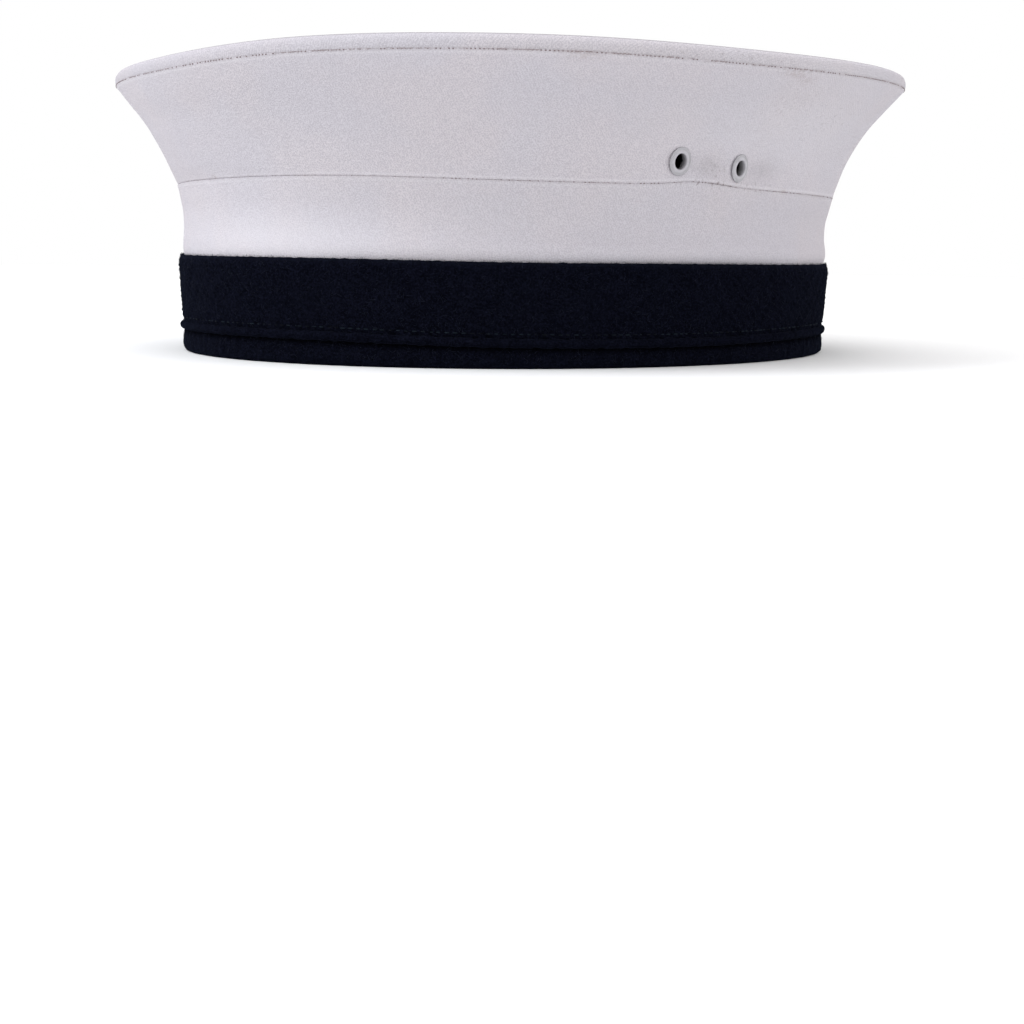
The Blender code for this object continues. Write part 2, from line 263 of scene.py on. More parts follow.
def ripples(around: Array, height: Array, counts: Sequence[int], tilt: float, seed: int) -> Array:
    """A soft wobble over the side: the mean of cosines, each with a whole count of waves
    round the cap, that lean with the height and have a phase of their own.

    Args:
        around: Angles round the cap, in radians.
        height: Heights, in metres.
        counts: How many waves each cosine has round the cap.
        tilt: The most that a phase turns for each metre of height, in radians.
        seed: Picks the phases.

    Returns:
        Values mostly between -1 and 1.
    """
    rng = np.random.default_rng(seed)
    phases = rng.uniform(0.0, FULL_TURN, len(counts))
    leans = rng.uniform(-tilt, tilt, len(counts))
    waves = [np.cos(n * around + lean * height + p) for n, lean, p in zip(counts, leans, phases)]
    return sum(waves) / math.sqrt(len(counts))


def spots_at(spots: Sequence[Spot], around: Array, height: Array, radius: float) -> Array:
    """The sum of the spots' bells: each falls off as the exponential of minus the squared
    distance, in its own widths.

    Args:
        spots: The spots, in degrees and metres.
        around: Angles round the cap, in radians.
        height: Heights, in metres.
        radius: The cap's radius, which turns angles into lengths.

    Returns:
        The summed amounts.
    """
    total = np.zeros(np.broadcast(around, height).shape)
    for spot in spots:
        along = arc_from(math.radians(spot.around), around, radius)
        upward = height - spot.height
        total = total + spot.amount * np.exp(-((along / spot.wide) ** 2) - (upward / spot.tall) ** 2)
    return total


@dataclass(frozen=True)
class Oval:
    """An oval round the cap."""

    half_length: float
    half_width: float

    @classmethod
    def round_node(cls, node: str) -> "Oval":
        """The oval that just holds a node of the frame."""
        low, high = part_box(node)
        return cls((high[1] - low[1]) / 2.0, (high[0] - low[0]) / 2.0)

    def grown(self, outwards: float) -> "Oval":
        """The oval with every side moved outwards by a distance."""
        return Oval(self.half_length + outwards, self.half_width + outwards)

    def points(self, outwards: Array, height: Array, around: Array) -> Array:
        """Points that lie outwards of the oval by a distance, at their heights."""
        return place_round(self.half_length + outwards, self.half_width + outwards, height, around)


@dataclass(frozen=True)
class CapForm:
    """The ovals and heights that all of the cap's pieces are cut to."""

    rim: Oval
    seam: Oval
    body: Oval
    waist: Oval = Oval(102.9 * MM, 87.1 * MM)
    band_top: float = 27.8 * MM
    seam_height: float = 48.1 * MM
    rim_height: float = 78.8 * MM
    band_lean: float = 1.2 * MM
    roll_radius: float = 2.8 * MM
    roll_undercut: float = math.radians(25.0)
    welt_height: float = 7.1 * MM
    welt_radius: float = 1.05 * MM
    clearance: float = 0.3 * MM
    sewn_in: float = 0.05 * MM
    radius: float = 97.0 * MM

    @classmethod
    def from_frame(cls) -> "CapForm":
        """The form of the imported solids."""
        return cls(
            rim=Oval.round_node("crown_top"),
            seam=Oval.round_node("lower_side"),
            body=Oval.round_node("hem"),
        )

    @property
    def stitch_height(self) -> float:
        """The height of the rim's stitched line."""
        return self.rim_height - self.roll_radius * math.sin(self.roll_undercut)

    @property
    def band_bottom(self) -> float:
        """The height of the band's lower edge."""
        return self.welt_height + self.welt_radius + self.clearance

    @property
    def stitched(self) -> Oval:
        """The outer oval of the flared panel at the rim's stitched line."""
        reach = self.roll_radius * math.cos(self.roll_undercut)
        return self.rim.grown(reach - self.roll_radius - self.sewn_in)

    def rim_lift(self, around: Array) -> Array:
        """How far the rim rises above its mean height."""
        return RIM_WAVE * wave("rim", around)

    def seam_lift(self, around: Array) -> Array:
        """How far the middle seam rises, with the tuck that the right eyelets draw up."""
        tuck = TUCK_LIFT * bell((np.mod(around, FULL_TURN) - TUCK_PLACE) / TUCK_SPREAD)
        return SEAM_WAVE * wave("seam", around) + tuck

    def band_lift(self, around: Array) -> Array:
        """How far the band's top edge rises above its mean height."""
        return SEAM_WAVE * wave("band", around)

    def welt_lift(self, around: Array) -> Array:
        """How far the piping rises above its mean height."""
        return SEAM_WAVE * wave("welt", around)


@dataclass(frozen=True)
class Patch:
    """Points and faces in arrays, before they become a mesh.

    The cut holds each face corner's place on the flat cloth, in metres, and the marks hold
    named values for each point.
    """

    points: Array
    faces: Sequence[npt.NDArray[np.int64]]
    cut: Array | None = None
    marks: Mapping[str, Array] | None = None

    def to_object(self, name: str) -> bpy.types.Object:
        """Makes a smooth-shaded mesh object of the patch.

        Args:
            name: The object's name.

        Returns:
            The object, linked to the scene.
        """
        mesh = bpy.data.meshes.new(name)
        corners = np.concatenate([face.ravel() for face in self.faces])
        sizes = np.concatenate([np.full(len(face), face.shape[1]) for face in self.faces])
        mesh.vertices.add(len(self.points))
        mesh.vertices.foreach_set("co", self.points.ravel())
        mesh.loops.add(len(corners))
        mesh.loops.foreach_set("vertex_index", corners.astype(np.int32))
        mesh.polygons.add(len(sizes))
        mesh.polygons.foreach_set("loop_start", (np.cumsum(sizes) - sizes).astype(np.int32))
        mesh.polygons.foreach_set("use_smooth", np.ones(len(sizes), dtype=bool))
        if self.cut is not None:
            layer = mesh.uv_layers.new(name="cut")
            layer.data.foreach_set("uv", self.cut.ravel())
        for mark, values in (self.marks or {}).items():
            attribute = mesh.attributes.new(mark, "FLOAT", "POINT")
            attribute.data.foreach_set("value", values.ravel())
        mesh.update(calc_edges=True)
        mesh.validate()
        piece = bpy.data.objects.new(name, mesh)
        bpy.context.scene.collection.objects.link(piece)
        return piece


def wrapped_faces(rows: int, columns: int, closed: bool) -> npt.NDArray[np.int64]:
    """The four-cornered faces of a grid that is closed round the cap.

    Args:
        rows: The grid's rows, up the profile.
        columns: Its columns, round the cap.
        closed: Whether the last row joins the first.

    Returns:
        Indices of each face's corners, so that faces point out of a profile that runs up
        the outside.
    """
    row = np.arange(rows if closed else rows - 1)[:, None]
    column = np.arange(columns)[None, :]
    start = row * columns
    above = (row + 1) % rows * columns
    beside = (column + 1) % columns
    corners = (start + column, above + column, above + beside, start + beside)
    return np.stack(corners, axis=-1).reshape(-1, 4)


def corner_values(grid: Array, rows: int, columns: int) -> Array:
    """Values at the corners of each face of a grid, from a grid with a spare row and column.

    Args:
        grid: Values of shape (rows + 1, columns + 1, n).
        rows: How many rows of faces there are.
        columns: How many columns of faces there are.

    Returns:
        The values of every face corner, in the order of wrapped_faces.
    """
    parts = (
        grid[:rows, :columns],
        grid[1 : rows + 1, :columns],
        grid[1 : rows + 1, 1 : columns + 1],
        grid[:rows, 1 : columns + 1],
    )
    return np.stack(parts, axis=2).reshape(-1, grid.shape[-1])


def lengths_along(points: Array, axis: int) -> Array:
    """Distances from the start, summed along an axis of a grid of points."""
    steps = np.linalg.norm(np.diff(points, axis=axis), axis=-1)
    start = np.zeros_like(np.take(steps, [0], axis=axis))
    return np.concatenate([start, np.cumsum(steps, axis=axis)], axis=axis)


def corner_round(edge: Array, corner: float, ahead: Array, inward: Array) -> Array:
    """Rows of a quarter round that start beside an edge and end ahead of it: each lies ahead
    by the corner's radius times the sine of its turn, and inward by the radius less its
    cosine.

    Args:
        edge: The points that it starts from.
        corner: The radius.
        ahead: The unit direction that it ends in.
        inward: The unit direction that it bends to.

    Returns:
        Four rows, without the edge itself.
    """
    turn = np.linspace(0.0, 0.5 * math.pi, 5)[1:].reshape((-1,) + (1,) * edge.ndim)
    return edge + corner * (np.sin(turn) * ahead + (1.0 - np.cos(turn)) * inward)


def walled(outer: Array, wall: float, corner: float, inner_rows: int) -> Array:
    """The closed profile of a cloth wall, from its outer face. The inner face is the outer
    one moved in along its normals by the wall, and each edge is cut square, with rounded
    corners.

    Args:
        outer: The outer face, of shape (rows, columns, 3), from the bottom up.
        wall: The thickness.
        corner: The corners' radius, by which the edges stand out beyond the outer face.
        inner_rows: How many rows the inner face keeps.

    Returns:
        Rows that run up the outer face, over the top, down the inner face and under.
    """
    upward = unit(np.gradient(outer, axis=0))
    along = np.roll(outer, -1, axis=1) - np.roll(outer, 1, axis=1)
    facing = unit(np.cross(upward, along))
    inner = outer - wall * facing
    kept = np.linspace(len(outer) - 1, 0, inner_rows).round().astype(int)
    over = corner_round(outer[-1], corner, upward[-1], -facing[-1])
    over_inside = corner_round(inner[-1], corner, upward[-1], facing[-1])[::-1]
    under_inside = corner_round(inner[0], corner, -upward[0], facing[0])
    under = corner_round(outer[0], corner, -upward[0], -facing[0])[::-1]
    return np.concatenate([outer, over, over_inside, inner[kept], under_inside, under])


def pierce(piece: bpy.types.Object, cutters: Sequence[bpy.types.Object]) -> None:
    """Cuts holes through a piece and removes the cutters.

    Args:
        piece: The piece.
        cutters: Closed bodies that each take a hole out of it.
    """
    for cutter in cutters:
        cut = piece.modifiers.new(cutter.name, "BOOLEAN")
        cut.operation = "DIFFERENCE"
        cut.object = cutter
    whole = piece.data
    seen = piece.evaluated_get(bpy.context.evaluated_depsgraph_get())
    piece.data = bpy.data.meshes.new_from_object(seen)
    piece.data.name = piece.name
    piece.modifiers.clear()
    bpy.data.meshes.remove(whole)
    for cutter in cutters:
        shape = cutter.data
        bpy.data.objects.remove(cutter)
        bpy.data.meshes.remove(shape)


class Wire:
    """A shader socket that Python's operators work on, each by adding a Math node."""

    def __init__(self, board: "Board", socket: bpy.types.NodeSocket) -> None:
        """Wraps a socket.

        Args:
            board: The board that adds the nodes.
            socket: The output whose value the wire carries.
        """
        self.board = board
        self.socket = socket

    def __add__(self, other: Value) -> "Wire":
        """This plus other."""
        return self.board.math("ADD", self, other)

    def __sub__(self, other: Value) -> "Wire":
        """This minus other."""
        return self.board.math("SUBTRACT", self, other)

    def __rsub__(self, other: Value) -> "Wire":
        """Other minus this."""
        return self.board.math("SUBTRACT", other, self)

    def __mul__(self, other: Value) -> "Wire":
        """This times other."""
        return self.board.math("MULTIPLY", self, other)

    __radd__ = __add__
    __rmul__ = __mul__


class Board:
    """A material whose nodes are added by calls."""

    def __init__(self, name: str, roughness: float) -> None:
        """Starts a material with its Principled shader.

        Args:
            name: The material's name.
            roughness: The surface's roughness, where nothing else drives it.
        """
        self.material = bpy.data.materials.new(name)
        self.material.use_nodes = True
        self.tree = self.material.node_tree
        self.shader = self.tree.nodes["Principled BSDF"]
        self.shader.inputs["Roughness"].default_value = roughness

    def node(
        self,
        kind: str,
        settings: Mapping[str, object] | None = None,
        inputs: Mapping[str | int, Value] | None = None,
        output: str | int = 0,
    ) -> Wire:
        """Adds a node.

        Args:
            kind: The node's type.
            settings: Its own settings, which are set first.
            inputs: Values or wires for its sockets, by name or number.
            output: The output that is wanted.

        Returns:
            That output.
        """
        made = self.tree.nodes.new(kind)
        for name, value in (settings or {}).items():
            setattr(made, name, value)
        for key, value in (inputs or {}).items():
            self.feed(made.inputs[key], value)
        return Wire(self, made.outputs[output])

    def feed(self, socket: bpy.types.NodeSocket, value: Value) -> None:
        """Links a wire to a socket, or sets the socket to a value."""
        if isinstance(value, Wire):
            self.tree.links.new(value.socket, socket)
        else:
            socket.default_value = value

    def math(self, operation: str, first: Value, second: Value = 0.0) -> Wire:
        """A Math node."""
        return self.node("ShaderNodeMath", {"operation": operation}, {0: first, 1: second})

    def swing(self, phase: Wire) -> Wire:
        """A sine from 0 to 1 of a phase in turns."""
        return 0.5 + 0.5 * self.math("SINE", phase * FULL_TURN)

    def between(self, value: Wire, low: float, high: float) -> Wire:
        """A smooth step, 0 below low and 1 above high."""
        return self.node(
            "ShaderNodeMapRange",
            {"interpolation_type": "SMOOTHSTEP"},
            {"Value": value, "From Min": low, "From Max": high},
        )

    def mix(self, share: Value, first: Value, second: Value, how: str = "MIX") -> Wire:
        """Two colours, mixed by a share of the second."""
        settings = {"data_type": "RGBA", "blend_type": how}
        return self.node("ShaderNodeMix", settings, {0: share, 6: first, 7: second}, output=2)

    def place(self) -> Wire:
        """The place in the piece's own space, in metres."""
        return self.node("ShaderNodeTexCoord", output="Object")

    def mark(self, name: str) -> Wire:
        """A named value of the mesh."""
        return self.node("ShaderNodeAttribute", {"attribute_name": name}, output="Fac")

    def noise(self, where: Wire, size: float, detail: float = 2.0) -> Wire:
        """Noise around a half, with blobs about a size across, in metres."""
        inputs = {"Vector": where, "Scale": 1.0 / size, "Detail": detail}
        return self.node("ShaderNodeTexNoise", inputs=inputs)

    def flat_cloth(self) -> tuple[Wire, Wire]:
        """The two lengths on the flat cloth, along the weft and along the warp."""
        flat = self.node("ShaderNodeUVMap", {"uv_map": "cut"})
        weft = self.node("ShaderNodeSeparateXYZ", inputs={0: flat})
        return weft, Wire(self, weft.socket.node.outputs[1])

    def relief(self, height: Wire, depth: float, strength: float) -> None:
        """Feeds a height from 0 to 1 to the shader's normal, as relief of some depth."""
        inputs = {"Height": height, "Distance": depth, "Strength": strength}
        self.feed(self.shader.inputs["Normal"], self.node("ShaderNodeBump", inputs=inputs))


@dataclass(frozen=True)
class CottonTwill:
    """White cotton twill: slanting ribs crossed by threads, soft mottling and soil, with painted
    highlights and painted shade laid on by marks.
    """

    name: str
    rib_angle: float
    rib_pitch: float = 0.66 * MM
    rib_share: float = 0.30
    thread_pitch: float = 0.48 * MM
    tone: float = 1.0
    relief: float = 0.12 * MM
    slow_drift: float = 5.0 * MM
    quick_drift: float = 1.3 * MM
    lint_size: float = 0.32 * MM
    blotch_size: float = 22.0 * MM
    crumb_size: float = 0.9 * MM
    cool: Colour = (0.560, 0.537, 0.578, 1.0)
    warm: Colour = (0.578, 0.543, 0.573, 1.0)
    groove: Colour = (0.43, 0.405, 0.445, 1.0)
    # The colour of the painted highlights and painted pools of light.
    pale: Colour = (0.70, 0.68, 0.715, 1.0)
    # Rust and dust also colour painted shade in the seams' grooves, and dust also colours the painted
    # shade line along the top of the rim's roll.
    rust: Colour = (0.20, 0.12, 0.085, 1.0)
    dust: Colour = (0.24, 0.225, 0.24, 1.0)
    soot: Colour = (0.17, 0.135, 0.135, 1.0)

    def material(self) -> bpy.types.Material:
        """Lays out the twill's nodes.

        Returns:
            The material.
        """
        board = Board(self.name, roughness=0.94)
        place = board.place()
        weft, warp = board.flat_cloth()
        cosine = math.cos(self.rib_angle)
        sine = math.sin(self.rib_angle)
        drift = 0.7 * board.noise(place, self.slow_drift) + 0.35 * board.noise(place, self.quick_drift)
        ribs = board.swing((weft * cosine + warp * sine) * (1.0 / self.rib_pitch) + drift)
        threads = board.swing((warp * cosine - weft * sine) * (1.0 / self.thread_pitch) + drift)
        lint = board.between(board.noise(place, self.lint_size, detail=1.5), 0.36, 0.64)
        weave = self.rib_share * ribs * (0.45 + 0.55 * threads) + (1.0 - self.rib_share) * lint
        blotches = board.between(board.noise(place, self.blotch_size, detail=3.0), 0.35, 0.68)
        cloth = board.mix(blotches, self.cool, self.warm)
        cloth = board.mix(0.70 * (1.0 - board.between(weave, 0.15, 0.70)), cloth, self.groove)
        cloth = board.mix(1.0, cloth, (self.tone, self.tone, self.tone, 1.0), how="MULTIPLY")
        # Painted highlights: lines along the ridges beside the seams, and painted pools of light.
        cloth = board.mix(0.35 * board.mark("pale"), cloth, self.pale)
        crumbs = board.between(board.noise(place, self.crumb_size, detail=3.0), 0.32, 0.62)
        # The dust mark holds dust spots, and also painted shade in the seams' grooves and along the top
        # of the rim's roll.
        dusty = board.mark("dust") * (0.6 + 0.4 * crumbs)
        cloth = board.mix(dusty, cloth, self.dust)
        # The rust mark holds rust stains, and also painted shade in the seams' grooves.
        cloth = board.mix(board.mark("rust") * crumbs, cloth, self.rust)
        specks = board.between(board.noise(place, self.crumb_size, detail=0.5), 0.64, 0.72)
        cloth = board.mix(0.50 * specks * board.mark("specks"), cloth, self.soot)
        board.feed(board.shader.inputs["Base Color"], cloth)
        board.shader.inputs["Specular IOR Level"].default_value = 0.1
        board.relief(weave, self.relief, strength=0.5)
        return board.material


@dataclass(frozen=True)
class MeltonWool:
    """Navy melton wool: felted fibres, lighter where the nap stands up, with a painted highlight
    along the band's top edge.
    """

    name: str
    colour: Colour = (0.0016, 0.0018, 0.0038, 1.0)
    nap: Colour = (0.0054, 0.0062, 0.0132, 1.0)
    lint: Colour = (0.013, 0.015, 0.026, 1.0)
    shade: Colour = (0.0006, 0.0006, 0.0012, 1.0)
    relief: float = 0.30 * MM
    felt_size: float = 0.5 * MM
    strand_size: float = 0.55 * MM
    cloud_size: float = 3.0 * MM

    def material(self) -> bpy.types.Material:
        """Lays out the wool's nodes.

        Returns:
            The material.
        """
        board = Board(self.name, roughness=0.95)
        place = board.place()
        felt = board.noise(place, self.felt_size, detail=4.0)
        stretched = board.node("ShaderNodeMapping", inputs={"Vector": place, "Scale": (1.0, 1.0, 3.0)})
        strands = board.noise(stretched, self.strand_size, detail=3.0)
        clouds = board.noise(place, self.cloud_size, detail=3.0)
        napped = board.between(0.8 * felt + 0.2 * clouds, 0.38, 0.68)
        cloth = board.mix(0.8 * napped, self.colour, self.nap)
        cloth = board.mix(0.6 * board.between(strands, 0.60, 0.72), cloth, self.lint)
        # The nap mark is a painted highlight along the band's top edge.
        cloth = board.mix(board.mark("nap"), cloth, self.lint)
        cloth = board.mix(board.mark("shade"), cloth, self.shade)
        board.feed(board.shader.inputs["Base Color"], cloth)
        board.shader.inputs["Sheen Weight"].default_value = 0.02
        board.shader.inputs["Sheen Roughness"].default_value = 0.4
        board.shader.inputs["Sheen Tint"].default_value = (0.5, 0.6, 0.9, 1.0)
        board.shader.inputs["Specular IOR Level"].default_value = 0.0
        board.relief(0.6 * felt + 0.4 * strands, self.relief, strength=0.8)
        return board.material


@dataclass(frozen=True)
class SewingThread:
    """Twisted thread, which darkens here and there."""

    name: str
    colour: Colour
    shade: Colour
    twist: float = 0.25 * MM

    def material(self) -> bpy.types.Material:
        """Lays out the thread's nodes.

        Returns:
            The material.
        """
        board = Board(self.name, roughness=0.8)
        place = board.place()
        fine = board.noise(place, self.twist, detail=2.0)
        worn = board.between(board.noise(place, 5.0 * MM, detail=3.0), 0.4, 0.65)
        board.feed(board.shader.inputs["Base Color"], board.mix(worn, self.colour, self.shade))
        board.shader.inputs["Specular IOR Level"].default_value = 0.08
        board.relief(fine, 0.05 * MM, strength=0.6)
        return board.material


# Each thread's name, its colour and the darker or paler colour that it wears to.
THREAD_COLOURS = (
    ("navy_fibre", (0.0170, 0.0205, 0.0350, 1.0), (0.0040, 0.0048, 0.0095, 1.0)),
    ("white_thread", (0.50, 0.47, 0.50, 1.0), (0.24, 0.20, 0.20, 1.0)),
    # Dark knots between the stitches: soiled thread, which also paints the shade of the needle holes.
    ("soiled_and_shaded_thread", (0.17, 0.13, 0.13, 1.0), (0.30, 0.26, 0.27, 1.0)),
    ("navy_thread", (0.0080, 0.0135, 0.0200, 1.0), (0.0026, 0.0036, 0.0064, 1.0)),
)


@dataclass(frozen=True)
class EyeletPaint:
    """Pale grey paint on pressed metal, dusty and a little worn at its edges."""

    name: str
    colour: Colour = (0.445, 0.433, 0.465, 1.0)
    worn: Colour = (0.38, 0.37, 0.39, 1.0)
    # The colour of the painted shade down the bore and over the outer flange.
    painted_shade: Colour = (0.17, 0.165, 0.17, 1.0)

    def material(self) -> bpy.types.Material:
        """Lays out the paint's nodes.

        Returns:
            The material.
        """
        board = Board(self.name, roughness=0.4)
        place = board.place()
        dust = board.between(board.noise(place, 1.6 * MM, detail=4.0), 0.45, 0.7)
        scuffs = board.noise(place, 0.3 * MM, detail=2.0)
        paint = board.mix(0.6 * dust, self.colour, self.worn)
        # The mark is painted shade: darker down the bore and over the outer flange, with the raised lip
        # round the bore left unshaded.
        board.feed(board.shader.inputs["Base Color"], board.mix(board.mark("painted_shade"), paint, self.painted_shade))
        board.feed(board.shader.inputs["Roughness"], 0.34 + 0.25 * dust)
        board.relief(scuffs, 0.02 * MM, strength=0.3)
        return board.material


@dataclass(frozen=True)
class StudioPaper:
    """Plain pale paper under the cap."""

    name: str
    colour: Colour = (0.79, 0.79, 0.79, 1.0)

    def material(self) -> bpy.types.Material:
        """Lays out the paper's nodes.

        Returns:
            The material.
        """
        board = Board(self.name, roughness=0.9)
        grain = board.noise(board.place(), 2.0 * MM, detail=3.0)
        darker = tuple(0.985 * part for part in self.colour[:3]) + (1.0,)
        board.feed(board.shader.inputs["Base Color"], board.mix(grain, self.colour, darker))
        board.shader.inputs["Specular IOR Level"].default_value = 0.0
        return board.material


@dataclass(frozen=True)
class Dressing:
    """What a piece is finished with and what it stands for."""

    finish: bpy.types.Material
    slot: str
    replaces: tuple[str, ...] = ()

    def put_on(self, piece: bpy.types.Object) -> bpy.types.Object:
        """Gives a piece its finish, its body and the nodes that it replaces.

        Args:
            piece: The piece.

        Returns:
            The same piece.
        """
        piece.data.materials.append(self.finish)
        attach(piece, "root")
        if self.replaces:
            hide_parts(*self.replaces)
        LOG.info("%s: %d faces", piece.name, len(piece.data.polygons))
        return piece


class Cloth(ABC):
    """A cloth whose outer face is a surface of two parameters: the angle round the cap, in
    radians, and the share of the way up the cloth, from 0 to 1."""

    name: str
    form: CapForm
    wall: float
    corner: float
    rows: int
    columns: int
    inner_rows: int
    cut: Cut

    @abstractmethod
    def face(self, around: Array, up: Array) -> Array:
        """Points of the outer face."""

    def marks(self, points: Array, around: Array) -> dict[str, Array]:
        """Named values at each point of the finished profile; plain cloth has none."""
        return {}

    def directions(self, around: Array, up: Array) -> tuple[Array, Array, Array]:
        """Unit steps along the cap, up the cloth and out of it.

        The first two are differences between points a small way apart, and the third is
        their cross product.

        Args:
            around: Angles round the cap, in radians.
            up: Shares of the way up the cloth.

        Returns:
            The three steps, each of the shape that the points have.
        """
        small = 2.0e-3
        along = unit(self.face(around + small, up) - self.face(around - small, up))
        upward = unit(self.face(around, up + small) - self.face(around, up - small))
        return along, upward, unit(np.cross(upward, along))

    def rising(self) -> Array:
        """The shares of the way up at which the outer face has its rows."""
        return np.linspace(0.0, 1.0, self.rows)

    def flat_places(self, profile: Array) -> Array:
        """Each point's place on the flat cloth, with a spare row and column at the seams.

        A strip is unrolled: the length round its middle row and the length up the profile.
        A sector's corners lie on circles round a far point, as those of an unrolled cone do.

        Args:
            profile: The closed profile, of shape (rows, columns, 3).

        Returns:
            Lengths in metres, of shape (rows + 1, columns + 1, 2).
        """
        whole = np.concatenate([profile, profile[:1]])
        whole = np.concatenate([whole, whole[:, :1]], axis=1)
        upward = lengths_along(whole, axis=0)
        around = lengths_along(whole, axis=1)[self.rows // 2][None, :] + 0.0 * upward
        if self.cut is Cut.STRIP:
            return np.stack([around, upward], axis=-1)
        bottom = float(lengths_along(whole[:1], axis=1)[0, -1])
        top = float(lengths_along(whole[self.rows - 1 : self.rows], axis=1)[0, -1])
        reach = float(upward[self.rows - 1].mean()) * bottom / (top - bottom)
        turn = around / around.max() * bottom / reach
        return np.stack([(reach + upward) * np.sin(turn), -(reach + upward) * np.cos(turn)], axis=-1)

    def build(self) -> bpy.types.Object:
        """Makes the cloth a closed mesh.

        Returns:
            The object.
        """
        around = turns(self.columns)[None, :]
        outer = self.face(around, self.rising()[:, None])
        profile = walled(outer, self.wall, self.corner, self.inner_rows)
        rows = len(profile)
        marks = self.marks(profile, np.broadcast_to(around, profile.shape[:2]))
        patch = Patch(
            points=profile.reshape(-1, 3),
            faces=[wrapped_faces(rows, self.columns, closed=True)],
            cut=corner_values(self.flat_places(profile), rows, self.columns),
            marks=marks,
        )
        return patch.to_object(self.name)

    def flat_size(self) -> tuple[float, float]:
        """The flat cloth's width, up its outer face, and its length, round its middle row."""
        around = np.linspace(0.0, FULL_TURN, self.columns + 1)[None, :]
        outer = self.face(around, self.rising()[:, None])
        width = float(lengths_along(outer, axis=0)[-1].mean())
        return width, float(lengths_along(outer, axis=1)[self.rows // 2, -1])

    def ridge(self, around: Array, distance: Array, place: float) -> Array:
        """How far an edge stands proud over its neighbour: a bell of the distance from the
        edge, fullest at one angle and gone on the far side of the cap."""
        return RIDGE_RISE * nearness(around, place) ** 2 * bell(distance / RIDGE_WIDTH)


# Dirt and painted light on the white cloth. The columns are the angle in degrees, the height,
# the spot's width and height, and its amount. Specks are small crumbs of soil that gather
# inside a spot, and the last spots are painted pools of light, where the side is lit brighter.
RUST_SPOTS = (
    Spot(114.5, 77.1 * MM, 3.6 * MM, 0.8 * MM, 0.22),
    Spot(85.2, 76.2 * MM, 3.4 * MM, 0.9 * MM, 0.24),
    Spot(82.0, 75.2 * MM, 3.0 * MM, 1.2 * MM, 0.15),
    Spot(80.0, 72.0 * MM, 9.0 * MM, 2.6 * MM, 0.05),
    Spot(71.3, 47.6 * MM, 0.9 * MM, 0.7 * MM, 0.32),
    Spot(175.0, 49.0 * MM, 1.3 * MM, 0.5 * MM, 0.40),
)
DUST_SPOTS = (
    Spot(89.6, 53.4 * MM, 4.6 * MM, 2.6 * MM, 0.32),
    Spot(77.8, 53.2 * MM, 5.6 * MM, 2.6 * MM, 0.28),
    Spot(84.0, 50.0 * MM, 11.0 * MM, 1.6 * MM, 0.08),
    Spot(168.0, 68.0 * MM, 26.0 * MM, 8.0 * MM, 0.05),
    Spot(250.0, 55.0 * MM, 12.0 * MM, 5.0 * MM, 0.10),
    Spot(300.0, 60.0 * MM, 16.0 * MM, 6.0 * MM, 0.10),
)
SPECK_SPOTS = (
    Spot(90.0, 48.4 * MM, 7.0 * MM, 2.2 * MM, 0.9),
    Spot(80.0, 48.4 * MM, 9.0 * MM, 1.4 * MM, 0.7),
    Spot(88.5, 52.0 * MM, 5.0 * MM, 3.0 * MM, 0.5),
    Spot(80.0, 69.0 * MM, 16.0 * MM, 5.0 * MM, 0.35),
    Spot(65.0, 68.0 * MM, 10.0 * MM, 5.0 * MM, 0.45),
    Spot(96.0, 79.0 * MM, 18.0 * MM, 1.6 * MM, 0.6),
    Spot(290.0, 60.0 * MM, 30.0 * MM, 8.0 * MM, 0.4),
)
PAINTED_LIGHT_SPOTS = (
    Spot(163.0, 32.0 * MM, 40.0 * MM, 8.0 * MM, 0.9),
    Spot(72.0, 66.0 * MM, 36.0 * MM, 12.0 * MM, 0.8),
)


